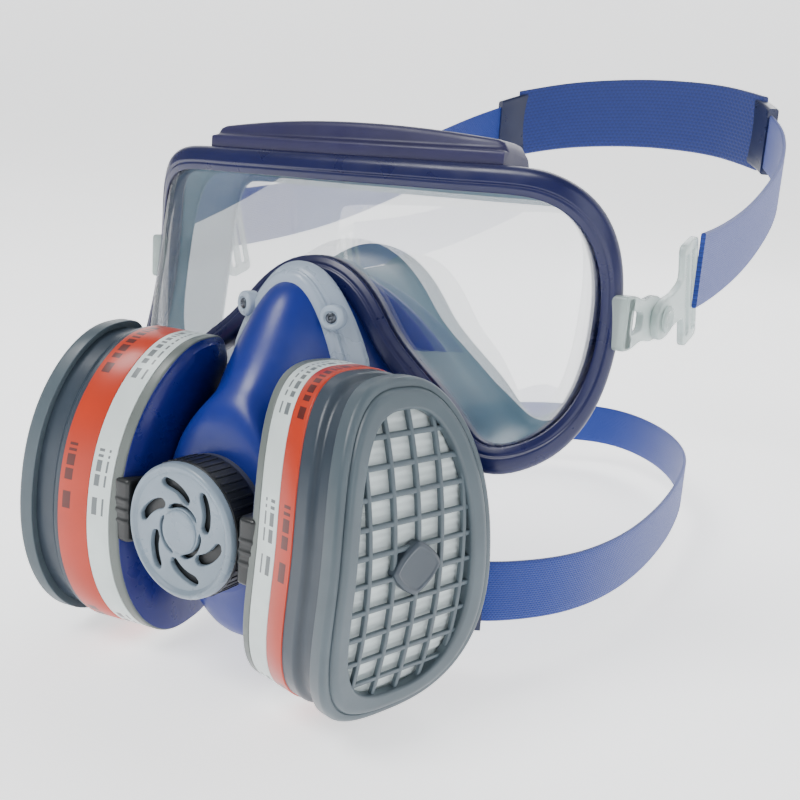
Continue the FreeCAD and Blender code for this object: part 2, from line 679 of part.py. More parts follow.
def rim_pattern():
    """The goggles' outline in the flat: a wide rounded bar with an arch over the nose."""
    end = size("end_length")
    flat = size("half_length") - end
    half = GOGGLE_MIDDLE - size("goggle_bottom")
    rise = size("goggle_top") - GOGGLE_MIDDLE
    points = []
    for k in range(9):
        angle = math.pi / 2 * (1 - k / 8)
        across = flat + end * math.cos(angle) ** (2 / size("end_power"))
        points.append(Vector(across, GOGGLE_MIDDLE + rise * math.sin(angle) ** (2 / size("end_power")), 0))
    for k in range(1, 8):
        angle = math.pi / 2 * k / 8
        across = flat + end * math.cos(angle) ** (2 / size("end_power"))
        points.append(Vector(across, GOGGLE_MIDDLE - half * math.sin(angle) ** (2 / size("end_power")), 0))
    points += [Vector(x, z, 0) for x, z in NOSE_ARCH[:-1]]
    nose = Vector(*NOSE_ARCH[-1], 0)
    points = [Vector(flat * k / 4, size("goggle_top"), 0) for k in range(1, 4)] + points
    left = [Vector(-p.x, p.y, 0) for p in reversed(points)]
    middle_top = Vector(0, size("goggle_top"), 0)
    return smooth_wire([middle_top] + points + [nose] + left, closed=True)


def rim_stations(count=72):
    """Points round the goggles' outline with the inward direction at each, in the flat."""
    curve = rim_pattern()
    first, last = curve.FirstParameter, curve.LastParameter
    stations = []
    for k in range(count):
        at = first + (last - first) * k / count
        along = curve.tangent(at)[0]
        stations.append((curve.value(at), Vector(along.y, -along.x, 0)))
    return stations


def ring_loft(corners):
    """A closed ring round the goggles; each corner is (inset, proud, back) in its cross-section."""
    tracks = []
    for inset, proud, back in corners:
        track = []
        for point, inward in rim_stations():
            spot = point + inward * inset
            track.append(wrap(spot.x, spot.y, proud) + Vector(0, back, 0))
        tracks.append(track)
    faces = []
    wires = [Part.Wire([smooth_wire(track, closed=True).toShape()]) for track in tracks]
    for k, wire in enumerate(wires):
        faces += Part.makeRuledSurface(wire, wires[(k + 1) % len(wires)]).Faces
    return Part.makeSolid(Part.makeShell(faces))


def goggle_lens_shape(bite):
    """The curved lens, reaching this far under the rim."""
    inset = size("goggle_rim") - bite
    span = size("half_length") + 6
    line = [wrap(-span + 2 * span * k / 40, GOGGLE_MIDDLE, -size("lens_thick") / 2) for k in range(41)]
    sheet_face = band_face([Vector(p.x, p.y, 0) for p in line], size("lens_thick"))
    tilt = math.sin(math.radians(size("goggle_tilt")))
    slab = sheet_face.extrude(Vector(0, 0, 140))
    shear = FreeCAD.Matrix()
    shear.A23 = tilt
    slab = slab.transformGeometry(shear)
    slab.translate(Vector(0, -tilt * (GOGGLE_MIDDLE + 20), -20))
    fence = ring_loft([(inset, 6, 0), (inset, -8, 0), (inset - 9, -8, 0), (inset - 9, 6, 0)])
    plates = slab.cut(fence).Solids
    plates.sort(key=lambda plate: abs(plate.CenterOfMass.x) + abs(plate.CenterOfMass.z - 50))
    return plates[0]


def vent_cover_shape(shrink):
    """The arched box on top of the goggles, drawn in by a wall."""
    half = size("vent_half") - shrink
    base = size("vent_base")
    left = Vector(-half, 0, base)
    right = Vector(half, 0, base)
    up_left = Vector(-half + 2, 0, base + size("vent_ends") - shrink)
    up_right = Vector(half - 2, 0, base + size("vent_ends") - shrink)
    crown = Vector(0, 0, base + size("vent_rise") - shrink)
    edges = [Part.LineSegment(left, right).toShape(), Part.LineSegment(right, up_right).toShape(),
             Part.Arc(up_right, crown, up_left).toShape(), Part.LineSegment(up_left, left).toShape()]
    face = Part.Face(Part.Wire(edges))
    face.translate(Vector(0, size("vent_front") + shrink, 0))
    return face.extrude(Vector(0, size("vent_rear") - size("vent_front") - 2 * shrink, 0))


def make_goggles():
    """The goggles; returns the form of frame and lens together, which the side clips are cut to."""
    nose = mask_loft(-0.1)
    document.recompute()
    nose_shape = nose.Shape
    rim = size("goggle_rim")
    depth = size("goggle_depth")
    lens = goggle_lens_shape(size("lens_bite"))
    solid_feature("goggle_lens", lens)
    proud = size("rim_proud")
    low = proud - depth
    frame = ring_loft([(0, 0, 0), (1.2, proud, 0), (rim, 1.0, 0), (rim, low, 0), (0, low, 0)])
    frame = frame.cut(nose_shape)
    solid_feature("goggle_frame", frame.cut(goggle_lens_shape(size("lens_bite") + 0.05)))
    wall = size("skirt_wall")
    front = low - 0.1
    inset = size("skirt_inset")
    reach = size("skirt_depth")
    pinch = front - size("skirt_pinch")
    skirt = ring_loft([(3, front, 0), (3 + wall, front, 0), (inset + wall, pinch, reach), (inset, pinch, reach)])
    solid_feature("goggle_skirt", skirt.cut(nose_shape).cut(frame))
    wall = size("vent_wall")
    cavity = vent_cover_shape(wall)
    cavity.translate(Vector(0, 0, -0.01))
    cover = vent_cover_shape(0).cut(cavity).cut(frame)
    solid_feature("vent_cover", cover)
    foam = vent_cover_shape(wall + 0.05)
    solid_feature("vent_foam", foam.cut(frame))
    return frame.fuse(lens)


# ---------------------------------------------------------------- side clips and head strap


def clip_arm():
    """The clear arm from the goggles' side to the strap's pivot."""
    thick = size("arm_thick")
    half = size("arm_half")
    reach = size("arm_reach")
    pivot = Vector(size("arm_x"), size("pivot_y"), size("pivot_z"))
    bar = box(thick, reach, 2 * half - 3, pivot + Vector(0, -reach, -half + 1.5))
    root = box(7, 5, 2 * half, pivot + Vector(-7 + thick, -reach - 2, -half))
    eye = rod("sizes.arm_eye", thick, Placement(pivot, SIDE_ROTATION))
    hole = rod("sizes.pin_radius", thick + 2, Placement(pivot - Vector(1, 0, 0), SIDE_ROTATION))
    return boolean("Cut", chain("Fuse", bar, [root, eye]), hole)


def pivot_pin():
    """The headed pin that the buckle turns on."""
    length = size("arm_thick") + size("buckle_gap") + size("buckle_thick") + 0.4
    shaft = rod("sizes.pin_radius", length, Placement())
    head = rod("sizes.pin_radius + 1.6", 1.2, Placement(Vector(0, 0, length), Rotation()))
    tail = rod("sizes.pin_radius + 1.2", 1.0, Placement(Vector(0, 0, -1.0), Rotation()))
    return chain("Fuse", shaft, [head, tail])


def strap_buckle():
    """The swinging frame that the head strap threads through, flat in its own XY plane."""
    thick = size("buckle_thick")
    near = size("buckle_near")
    far = size("buckle_far")
    half = size("buckle_half")
    neck = size("buckle_neck")
    eye = rod("sizes.buckle_eye", thick, Placement())
    bar = box(near + 1, 2 * neck, thick, Vector(0, -neck, 0))
    frame = box(far - near, 2 * half, thick, Vector(near, -half, 0))
    hole = rod("sizes.pin_radius + sizes.pin_clearance", thick + 2, Placement(Vector(0, 0, -1), Rotation()))
    slots = []
    for start in (near + 1.6, far - 1.6 - size("slot_width")):
        slots.append(box(size("slot_width"), 2 * size("slot_half"), thick + 2,
                         Vector(start, -size("slot_half"), -1)))
    return chain("Cut", chain("Fuse", eye, [bar, frame]), slots + [hole])


def head_rise(y):
    """The height of the head strap's centre line over its run to the rear."""
    return 58.5 + 0.08 * (y - 15) + 0.00115 * (y - 15) ** 2


def strap_band(points, width, thick, first, last):
    """A band with upright walls along a plan curve, its height following the head strap's rise."""
    plan = band_face(points, thick)
    plan.translate(Vector(0, 0, -20))
    steps = [first + (last - first) * k / 8 for k in range(9)]
    low = [Vector(-130, y, head_rise(y) - width / 2) for y in steps]
    high = [Vector(-130, y, head_rise(y) + width / 2) for y in steps]
    edges = [smooth_wire(low).toShape(), Part.LineSegment(low[-1], high[-1]).toShape(),
             smooth_wire(high).toShape(), Part.LineSegment(high[0], low[0]).toShape()]
    side = Part.Face(Part.Wire(Part.__sortEdges__(edges)))
    return plan.extrude(Vector(0, 0, 200)).common(side.extrude(Vector(260, 0, 0)))


# the plan of the head strap on the wearer's left, then of the pad behind the crown
HEAD_PATH = [(99.6, 15), (99, 34), (97.5, 62), (95.5, 92), (92.5, 125), (87, 155), (77, 182), (63, 201)]
CROWN_PATH = [(65, 199.5), (44, 209.5), (21, 214.6), (0, 216)]


def plan_points(path, side=1):
    return [Vector(side * x, y, 0) for x, y in path]


def make_head_strap(goggles):
    arm = clip_arm()
    document.recompute()
    left = solid_feature("clip_arm_left", arm.Shape.cut(goggles).Solids[0])
    mirrored(left, "clip_arm_right")
    pin_place = Placement(Vector(size("arm_x"), size("pivot_y"), size("pivot_z")), SIDE_ROTATION)
    left = keep(pivot_pin(), "pivot_pin_left", pin_place)
    mirrored(left, "pivot_pin_right")
    swing = Rotation(Vector(1, 0, 0), size("buckle_angle")).multiply(SIDE_ROTATION)
    outside = size("arm_x") + size("arm_thick") + size("buckle_gap")
    place = Placement(Vector(outside, size("pivot_y"), size("pivot_z")), swing)
    left = keep(strap_buckle(), "strap_buckle_left", place)
    mirrored(left, "strap_buckle_right")
    band = strap_band(plan_points(HEAD_PATH), size("strap_width"), size("strap_thick"), 10, 230)
    document.recompute()
    left = solid_feature("head_strap_left", band.cut(left.Shape))
    mirrored(left, "head_strap_right")
    whole = plan_points(CROWN_PATH) + list(reversed(plan_points(CROWN_PATH[:-1], -1)))
    pad = strap_band(whole, size("pad_width"), size("pad_thick"), 180, 240)
    pad = pad.cut(left.Shape).cut(left.Shape.mirror(Vector(), Vector(1, 0, 0)))
    pad = pad.Solids[0] if len(pad.Solids) == 1 else max(pad.Solids, key=lambda solid: solid.Volume)
    slide = crown_slide()
    solid_feature("crown_pad", pad.cut(slide).cut(slide.mirror(Vector(), Vector(1, 0, 0))))
    left = solid_feature("crown_slide_left", slide.cut(left.Shape))
    mirrored(left, "crown_slide_right")


def crown_slide():
    """The ladder buckle at one end of the crown pad."""
    points = [Vector(71.5, 191.3, 0), Vector(67, 196.8, 0), Vector(61.5, 202, 0)]
    return strap_band(points, size("strap_width") + 2 * size("slide_margin"), size("slide_thick"), 170, 240)


# ---------------------------------------------------------------- neck strap

NECK_PATH = [(46.5, -40.8), (57.5, -37), (67, -28), (76, -13), (82, 10), (83.5, 40), (80.5, 75), (75, 110),
             (66, 145), (50, 178), (27, 204), (0, 216)]


def make_neck_strap():
    """One loop of webbing from hook to hook behind the neck, with a length adjuster on each side."""
    width = size("neck_width")
    right = list(reversed(plan_points(NECK_PATH[:-1], -1)))
    whole = plan_points(NECK_PATH) + right
    low = size("neck_z") - width / 2
    face = band_face(whole, size("neck_thick"))
    face.translate(Vector(0, 0, low))
    strap = face.extrude(Vector(0, 0, width))
    points = [Vector(51.5, -39.7, 0), Vector(55.5, -38.1, 0), Vector(59.5, -35.7, 0)]
    slider_face = band_face(points, 4.4)
    slider_face.translate(Vector(0, 0, low - 2.5))
    slider = slider_face.extrude(Vector(0, 0, width + 5))
    solid_feature("neck_strap", strap)
    left = solid_feature("neck_slider_left", slider.cut(strap))
    mirrored(left, "neck_slider_right")


# ---------------------------------------------------------------- build and write

make_filters()
make_ports()
make_exhale_valve()
make_half_mask()
make_head_strap(make_goggles())
make_neck_strap()
document.recompute()

for thing in document.Objects:
    if "Invalid" in thing.State or "Error" in thing.State:
        raise RuntimeError("%s (%s) failed: %s" % (thing.Name, thing.Label, thing.State))

os.makedirs("parts", exist_ok=True)
for thing in NODES:
    if thing.Shape.isNull() or not thing.Shape.isValid() or not thing.Shape.Solids:
        raise RuntimeError("%s has no valid solid" % thing.Label)
    thing.Shape.exportStep(os.path.join("parts", thing.Label + ".step"))
    print("%-24s %d solids %10.1f mm3" % (thing.Label, len(thing.Shape.Solids), thing.Shape.Volume))
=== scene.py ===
"""Looks for the half-mask respirator with joined goggles: meshes and materials round the CAD frame."""
import math

import bmesh
import bpy
import numpy as np
from mathutils import Matrix, Vector


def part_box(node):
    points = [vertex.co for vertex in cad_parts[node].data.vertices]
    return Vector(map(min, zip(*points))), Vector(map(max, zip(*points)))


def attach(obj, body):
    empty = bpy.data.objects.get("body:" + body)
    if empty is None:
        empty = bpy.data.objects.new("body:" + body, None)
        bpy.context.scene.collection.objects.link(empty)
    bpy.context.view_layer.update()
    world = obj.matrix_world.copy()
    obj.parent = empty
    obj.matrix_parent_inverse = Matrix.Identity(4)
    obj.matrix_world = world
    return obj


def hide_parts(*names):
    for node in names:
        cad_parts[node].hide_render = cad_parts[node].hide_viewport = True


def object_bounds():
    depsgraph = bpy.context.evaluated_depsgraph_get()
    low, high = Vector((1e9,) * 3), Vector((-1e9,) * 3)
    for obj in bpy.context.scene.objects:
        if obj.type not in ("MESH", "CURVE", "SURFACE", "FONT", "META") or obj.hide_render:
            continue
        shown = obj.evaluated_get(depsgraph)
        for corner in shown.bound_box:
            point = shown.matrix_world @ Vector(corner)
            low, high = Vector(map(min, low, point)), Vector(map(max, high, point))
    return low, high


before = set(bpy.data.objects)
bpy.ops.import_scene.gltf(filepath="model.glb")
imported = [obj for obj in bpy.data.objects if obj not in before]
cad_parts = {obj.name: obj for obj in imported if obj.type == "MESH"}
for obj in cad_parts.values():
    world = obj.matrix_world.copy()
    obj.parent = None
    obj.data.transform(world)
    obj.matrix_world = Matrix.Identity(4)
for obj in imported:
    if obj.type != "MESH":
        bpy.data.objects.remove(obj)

CAD_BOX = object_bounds()
MM = 0.001
SIDES = (("left", 1), ("right", -1))
FINE_STEPS = 40         # samples on a spline between two of its points
MIN_RADIUS = 0.02       # a turned piece closes to this on its axis


# ---- curves and meshes

def slope_pull(before, after, last, here, following):
    """What the slopes round a point must add up to, so that the bend runs on through it."""
    return 3 * (before / after * (following - here) + after / before * (here - last))


def spline(points, count, closed=False):
    """Evenly spaced points on a smooth curve through given points."""
    points = np.array(points, float)
    if closed:
        points = np.vstack([points, points[:1]])
    size = len(points)
    steps = np.linalg.norm(np.diff(points, axis=0), axis=1)
    at = np.concatenate([[0], np.cumsum(steps)])
    system = np.zeros((size, size))
    target = np.zeros_like(points)
    for k in range(1, size - 1):
        before, after = steps[k - 1], steps[k]
        system[k, k - 1:k + 2] = after, 2 * (before + after), before
        target[k] = slope_pull(before, after, points[k - 1], points[k], points[k + 1])
    if closed:
        before, after = steps[-1], steps[0]
        system[0, 0], system[0, -1] = 1, -1
        system[-1, -2], system[-1, -1], system[-1, 1] = after, 2 * (before + after), before
        target[-1] = slope_pull(before, after, points[-2], points[0], points[1])
    else:
        system[0, :2] = 2, 1
        target[0] = 3 * (points[1] - points[0]) / steps[0]
        system[-1, -2:] = 1, 2
        target[-1] = 3 * (points[-1] - points[-2]) / steps[-1]
    slopes = np.linalg.solve(system, target)
    fine = np.linspace(0, at[-1], FINE_STEPS * size)
    piece = np.clip(np.searchsorted(at, fine, side="right") - 1, 0, size - 2)
    length = steps[piece][:, None]
    part = ((fine - at[piece]) / steps[piece])[:, None]
    rest = 1 - part
    curve = (1 + 2 * part) * rest ** 2 * points[piece]
    curve = curve + part * rest ** 2 * length * slopes[piece]
    curve = curve + part ** 2 * (3 - 2 * part) * points[piece + 1]
    curve = curve - part ** 2 * rest * length * slopes[piece + 1]
    return even(curve, count, closed)


def even(curve, count, closed=False):
    """The same line with its points spread evenly along it."""
    run = np.concatenate([[0], np.cumsum(np.linalg.norm(np.diff(curve, axis=0), axis=1))])
    wanted = np.linspace(0, run[-1], count + 1 if closed else count)
    if closed:
        wanted = wanted[:-1]
    return np.stack([np.interp(wanted, run, curve[:, k]) for k in range(curve.shape[1])], axis=1)


def rounded(corners, radius, steps=4, closed=True):
    """A profile with its corners rounded; a corner may carry its own radius as a third value."""
    corners = [tuple(c) for c in corners]
    result = []
    count = len(corners)
    for k, corner in enumerate(corners):
        here = np.array(corner[:2], float)
        if not closed and k in (0, count - 1):
            result.append(here)
            continue
        back = np.array(corners[k - 1][:2], float) - here
        ahead = np.array(corners[(k + 1) % count][:2], float) - here
        wanted = corner[2] if len(corner) > 2 else radius
        reach = min(wanted, 0.49 * np.linalg.norm(back), 0.49 * np.linalg.norm(ahead))
        start = here + back / np.linalg.norm(back) * reach
        stop = here + ahead / np.linalg.norm(ahead) * reach
        for step in range(steps + 1):
            t = step / steps
            result.append((1 - t) ** 2 * start + 2 * t * (1 - t) * here + t ** 2 * stop)
    return np.array(result)


def placed(name, data):
    """A new object in the scene."""
    thing = bpy.data.objects.new(name, data)
    bpy.context.scene.collection.objects.link(thing)
    return thing


def make_mesh(name, points, faces, uv=None):
    """A smooth mesh object from points in millimetres."""
    mesh = bpy.data.meshes.new(name)
    mesh.from_pydata((np.array(points, float) * MM).tolist(), [], faces)
    mesh.update()
    if uv is not None:
        layer = mesh.uv_layers.new(name="metres")
        corners = np.array([loop.vertex_index for loop in mesh.loops])
        layer.data.foreach_set("uv", (np.array(uv, float)[corners] * MM).ravel())
    mesh.shade_smooth()
    return placed(name, mesh)


def skin(rows, loop=True, ring=False, caps=False):
    """Quads over rows of points: loop closes each row, ring joins the last row to the first."""
    rows = np.array(rows, float)
    height, width = rows.shape[:2]
    points = rows.reshape(-1, rows.shape[2])
    faces = []
    for r in range(height if ring else height - 1):
        below = ((r + 1) % height) * width
        for c in range(width if loop else width - 1):
            right = (c + 1) % width
            faces.append((r * width + c, r * width + right, below + right, below + c))
    if caps:
        faces.append(tuple(reversed(range(width))))
        faces.append(tuple(range((height - 1) * width, height * width)))
    return points, faces


def outward(thing, weld=True):
    """Make every face of a closed piece point outwards; welding would spoil metric coordinates."""
    work = bmesh.new()
    work.from_mesh(thing.data)
    if weld:
        bmesh.ops.remove_doubles(work, verts=work.verts, dist=1e-6)
    bmesh.ops.recalc_face_normals(work, faces=work.faces)
    work.to_mesh(thing.data)
    work.free()
    return thing


def finish_piece(thing, body, material, stands_for=(), sharp=40):
    """Give a piece its material, its smooth shading, its body and the CAD nodes it stands for."""
    thing.data.materials.clear()
    thing.data.materials.append(MATERIAL[material])
    thing.data.set_sharp_from_angle(angle=math.radians(sharp))
    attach(thing, body)
    if stands_for:
        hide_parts(*stands_for)


def baked(thing):
    """Apply an object's modifiers and return it as a plain mesh."""
    graph = bpy.context.evaluated_depsgraph_get()
    mesh = bpy.data.meshes.new_from_object(thing.evaluated_get(graph))
    name = thing.name
    bpy.data.objects.remove(thing)
    return placed(name, mesh)


def plate(name, outlines, thickness, bevel, matrix):
    """A flat plate with a rounded edge, from closed outlines in millimetres; later ones are holes."""
    curve = bpy.data.curves.new(name, "CURVE")
    curve.dimensions = "2D"
    curve.fill_mode = "BOTH"
    curve.extrude = (thickness / 2 - bevel) * MM
    curve.bevel_depth = bevel * MM
    curve.bevel_resolution = 3
    curve.offset = -bevel * MM
    for outline in outlines:
        line = curve.splines.new("POLY")
        line.points.add(len(outline) - 1)
        for point, (x, y) in zip(line.points, outline):
            point.co = (x * MM, y * MM, 0, 1)
        line.use_cyclic_u = True
    holder = placed(name, curve)
    bpy.context.view_layer.update()
    result = baked(holder)
    result.name = name
    result.data.transform(matrix)
    result.data.shade_smooth()
    if matrix.determinant() < 0:
        result.data.flip_normals()
    return outward(result)


def circle(radius, count=40):
    """Points round a circle about the middle."""
    angle = np.linspace(0, 2 * math.pi, count + 1)[:-1]
    return np.column_stack([np.cos(angle), np.sin(angle)]) * radius


def superellipse(angle, power):
    """Points on a rounded square of half width 1: a circle at power 2, squarer above it."""
    across = np.sign(np.cos(angle)) * np.abs(np.cos(angle)) ** (2 / power)
    up = np.sign(np.sin(angle)) * np.abs(np.sin(angle)) ** (2 / power)
    return across, up


def closed_piece(name, rows, body, material, slot, stands_for=(), **options):
    """A finished piece skinned over rows of points; options go to skin."""
    thing = outward(make_mesh(name, *skin(rows, **options)))
    finish_piece(thing, body, material, stands_for)


def joined(name, parts):
    """Several meshes as one piece."""
    work = bmesh.new()
    for part in parts:
        work.from_mesh(part.data)
        bpy.data.objects.remove(part)
    mesh = bpy.data.meshes.new(name)
    work.to_mesh(mesh)
    work.free()
    mesh.shade_smooth()
    return placed(name, mesh)


# ---- materials

class Shader:
    """A small helper that builds one node material."""

    def __init__(self, name, color, roughness, **sockets):
        self.material = bpy.data.materials.new(name)
        self.material.use_nodes = True
        self.nodes = self.material.node_tree.nodes
        self.links = self.material.node_tree.links
        self.surface = self.nodes["Principled BSDF"]
        self.surface.inputs["Base Color"].default_value = (*color, 1)
        self.surface.inputs["Roughness"].default_value = roughness
        for socket, value in sockets.items():
            self.surface.inputs[socket.replace("_", " ")].default_value = value
        self.height = None

    def node(self, kind, **settings):
        """A new node; each setting is a socket's value or a property."""
        made = self.nodes.new("ShaderNode" + kind)
        for key, value in settings.items():
            if key in made.inputs:
                made.inputs[key].default_value = value
            else:
                setattr(made, key, value)
        return made

    def link(self, source, target):
        """Join two sockets."""
        self.links.new(source, target)

    def place(self, coordinate="Object"):
        """Texture coordinates, by default the piece's own, in metres."""
        return self.node("TexCoord").outputs[coordinate]

    def metric(self):
        """Metres along and across a strap or a band."""
        split = self.node("SeparateXYZ")
        self.link(self.place("UV"), split.inputs["Vector"])
        return split.outputs["X"], split.outputs["Y"]

    def noise(self, scale, detail=4.0, vector=None, rough=0.55):
        """Noise of so many features in a metre."""
        made = self.node("TexNoise", Scale=scale, Detail=detail, Roughness=rough)
        self.link(vector or self.place(), made.inputs["Vector"])
        return made.outputs["Fac"]

    def ramp(self, value, low, high, start=0.35, stop=0.65):
        """A colour between two, by a value."""
        made = self.node("ValToRGB")
        made.color_ramp.elements[0].position = start
        made.color_ramp.elements[1].position = stop
        made.color_ramp.elements[0].color = (*low, 1)
        made.color_ramp.elements[1].color = (*high, 1)
        self.link(value, made.inputs["Fac"])
        return made.outputs["Color"]

    def math(self, operation, first, second=None, third=None):
        """One sum on sockets or numbers."""
        made = self.node("Math", operation=operation)
        for index, value in enumerate((first, second, third)):
            if value is None:
                continue
            if isinstance(value, (int, float)):
                made.inputs[index].default_value = value
            else:
                self.link(value, made.inputs[index])
        return made.outputs["Value"]

    def mix(self, factor, first, second):
        """Two colours mixed by a factor."""
        made = self.node("Mix", data_type="RGBA")
        sockets = (made.inputs["Factor"], made.inputs[6], made.inputs[7])
        for socket, value in zip(sockets, (factor, first, second)):
            if isinstance(value, tuple):
                socket.default_value = (*value, 1)
            elif isinstance(value, (int, float)):
                socket.default_value = value
            else:
                self.link(value, socket)
        return made.outputs[2]

    def base(self, color):
        """Use this as the base colour."""
        self.link(color, self.surface.inputs["Base Color"])

    def roughness(self, value):
        """Use this as the roughness."""
        self.link(value, self.surface.inputs["Roughness"])

    def bump(self, height, strength, distance):
        """Lay one more bump over those already there."""
        made = self.node("Bump", Strength=strength, Distance=distance)
        self.link(height, made.inputs["Height"])
        if self.height is not None:
            self.link(self.height, made.inputs["Normal"])
        self.height = made.outputs["Normal"]
        self.link(self.height, self.surface.inputs["Normal"])

    def spread(self, value, low, high):
        """Stretch a noise, which mostly lies between 0.3 and 0.7, over a range."""
        made = self.node("MapRange")
        made.inputs["From Min"].default_value = 0.3
        made.inputs["From Max"].default_value = 0.7
        made.inputs["To Min"].default_value = low
        made.inputs["To Max"].default_value = high
        self.link(value, made.inputs["Value"])
        return made.outputs["Result"]


def shade(color, factor):
    """The same colour, darker or lighter."""
    return tuple(min(1.0, channel * factor) for channel in color)


def moulded(name, color, roughness=0.42, grain=900, depth=0.05, wear=1.35, **sockets):
    """Moulded plastic or rubber: fine surface grain, faint mottling and slightly rubbed edges."""
    made = Shader(name, color, roughness, **sockets)
    vector = made.place()
    mottle = made.noise(38, 3, vector)
    colour = made.ramp(mottle, shade(color, 0.9), shade(color, 1.1))
    edges = made.node("NewGeometry").outputs["Pointiness"]
    rubbed = made.ramp(edges, (0, 0, 0), (1, 1, 1), 0.52, 0.60)
    scratch = made.math("MULTIPLY", made.noise(160, 5, vector, 0.7), rubbed)
    made.base(made.mix(scratch, colour, shade(color, wear)))
    made.roughness(made.spread(made.noise(120, 4, vector), roughness - 0.06, roughness + 0.08))
    made.bump(made.noise(grain, 2, vector), 0.25, depth * MM)
    return made


def webbing(name, color, pitch=1.1, rib=0.75):
    """Woven elastic webbing: lengthwise ribs crossed by picks, with fuzz and slow changes of tone."""
    made = Shader(name, color, 0.72, Sheen_Weight=0.35, Sheen_Roughness=0.5)
    along, across = made.metric()
    turn = 2 * math.pi / MM
    ribs = made.math("SINE", made.math("MULTIPLY", across, turn / rib))
    flip = made.math("SIGN", made.math("SINE", made.math("MULTIPLY", across, turn / (2 * rib))))
    shift = made.math("MULTIPLY", flip, math.pi / 2)
    picks = made.math("SINE", made.math("ADD", made.math("MULTIPLY", along, turn / pitch), shift))
    weave = made.math("MULTIPLY_ADD", picks, 0.5, made.math("MULTIPLY", ribs, 0.5))
    height = made.math("MULTIPLY_ADD", weave, 0.5, 0.5)
    fuzz = made.noise(2600, 3)
    tone = made.math("MULTIPLY_ADD", fuzz, 0.35, made.math("MULTIPLY", height, 0.65))
    wide = made.noise(45, 3)
    colour = made.ramp(tone, shade(color, 0.62), shade(color, 1.25), 0.2, 0.85)
    made.base(made.mix(made.math("MULTIPLY", wide, 0.35), colour, shade(color, 0.75)))
    made.bump(height, 0.7, 0.25 * MM)
    made.bump(fuzz, 0.3, 0.08 * MM)
    return made


def clear(name, color, roughness, alpha, transmission=0.9, ior=1.45, **sockets):
    """Clear or milky plastic with faint flow marks."""
    made = Shader(name, color, roughness, Transmission_Weight=transmission, IOR=ior, Alpha=alpha, **sockets)
    vector = made.place()
    made.roughness(made.spread(made.noise(60, 3, vector), roughness * 0.8, roughness * 1.3 + 0.01))
    made.bump(made.noise(25, 2, vector), 0.05, 0.1 * MM)
    return made


def dashes(made, along, cell_size, seed, threshold):
    """On and off along the band in cells of one size, the same each time."""
    corner = made.node("CombineXYZ")
    made.link(made.math("FLOOR", made.math("DIVIDE", along, cell_size * MM)), corner.inputs["X"])
    corner.inputs["Y"].default_value = seed
    chance = made.node("TexWhiteNoise", noise_dimensions="2D")
    made.link(corner.outputs["Vector"], chance.inputs["Vector"])
    return made.math("GREATER_THAN", chance.outputs["Value"], threshold)


def printed(name, color, ink, lines):
    """A printed film band with generic rows of bars in place of any lettering."""
    made = Shader(name, color, 0.38, Coat_Weight=0.25, Coat_Roughness=0.25)
    along, across = made.metric()
    bars = dashes(made, along, 0.9, 0.0, 0.45)
    words = dashes(made, along, 11, 3.0, 0.42)
    marks = made.math("MULTIPLY", bars, words)
    rows = 0.0
    for low, high in lines:
        above = made.math("GREATER_THAN", across, low * MM)
        below = made.math("LESS_THAN", across, high * MM)
        rows = made.math("ADD", rows, made.math("MULTIPLY", above, below))
    marks = made.math("MULTIPLY", marks, rows)
    film = made.ramp(made.noise(70, 3), shade(color, 0.93), shade(color, 1.04))
    made.base(made.mix(made.math("MULTIPLY", marks, 0.85), film, ink))
    made.bump(made.noise(500, 2), 0.12, 0.03 * MM)
    return made


def make_materials():
    """Every material once, by name."""
    made = {
        "mask": moulded("mask_rubber", (0.006, 0.019, 0.20), 0.34),
        "shell": moulded("shell_plastic", (0.003, 0.007, 0.13), 0.30),
        "casing": moulded("casing_plastic", (0.034, 0.048, 0.066), 0.34),
        "grille": moulded("grille_plastic", (0.070, 0.095, 0.112), 0.38),
        "cover": moulded("cover_plastic", (0.22, 0.28, 0.34), 0.30, Coat_Weight=0.1),
        "ring": moulded("ring_plastic", (0.13, 0.15, 0.14), 0.36),
        "wall": moulded("cover_wall_plastic", (0.014, 0.016, 0.018), 0.34),
        "latch": moulded("latch_plastic", (0.014, 0.016, 0.017), 0.34),
        "valve": moulded("valve_plastic", (0.05, 0.055, 0.08), 0.45),
        "frame": moulded("frame_plastic", (0.02, 0.03, 0.16), 0.45),
        "valve_rubber": moulded("valve_rubber", (0.24, 0.25, 0.26), 0.5),
        "rim": moulded("rim_rubber", (0.005, 0.007, 0.055), 0.30),
        "vent": moulded("vent_plastic", (0.016, 0.014, 0.062), 0.42),
        "buckle": moulded("buckle_plastic", (0.008, 0.013, 0.05), 0.30),
        "metal": moulded("rivet_metal", (0.10, 0.11, 0.13), 0.30, Metallic=1.0),
        "media": moulded("filter_media", (0.66, 0.73, 0.73), 0.9, grain=1500, depth=0.12),
        "charcoal": moulded("charcoal", (0.012, 0.012, 0.013), 0.7, grain=600, depth=0.6),
        "lens": clear("lens_polycarbonate", (0.93, 0.965, 1.0), 0.03, 0.35, 1.0, 1.5),
        "skirt": clear("skirt_silicone", (0.08, 0.18, 0.25), 0.34, 0.86, 0.30),
        "saddle": clear("saddle_plastic", (0.52, 0.62, 0.74), 0.25, 0.90, 0.30),
        "clip": clear("clip_plastic", (0.60, 0.70, 0.68), 0.20, 0.85, 0.50),
        "strap": webbing("strap_webbing", (0.005, 0.035, 0.29)),
        "pad": webbing("pad_webbing", (0.003, 0.020, 0.17), 2.2, 1.7),
        "orange": printed("orange_band", (0.50, 0.026, 0.0006), (0.02, 0.003, 0.003), [(1.6, 4.4)]),
        "white": printed("white_band", (0.66, 0.74, 0.72), (0.05, 0.06, 0.07), [(1.6, 3.4), (5.0, 5.7)]),
    }
    return {name: shader.material for name, shader in made.items()}


MATERIAL = make_materials()


# ---- filter cartridges

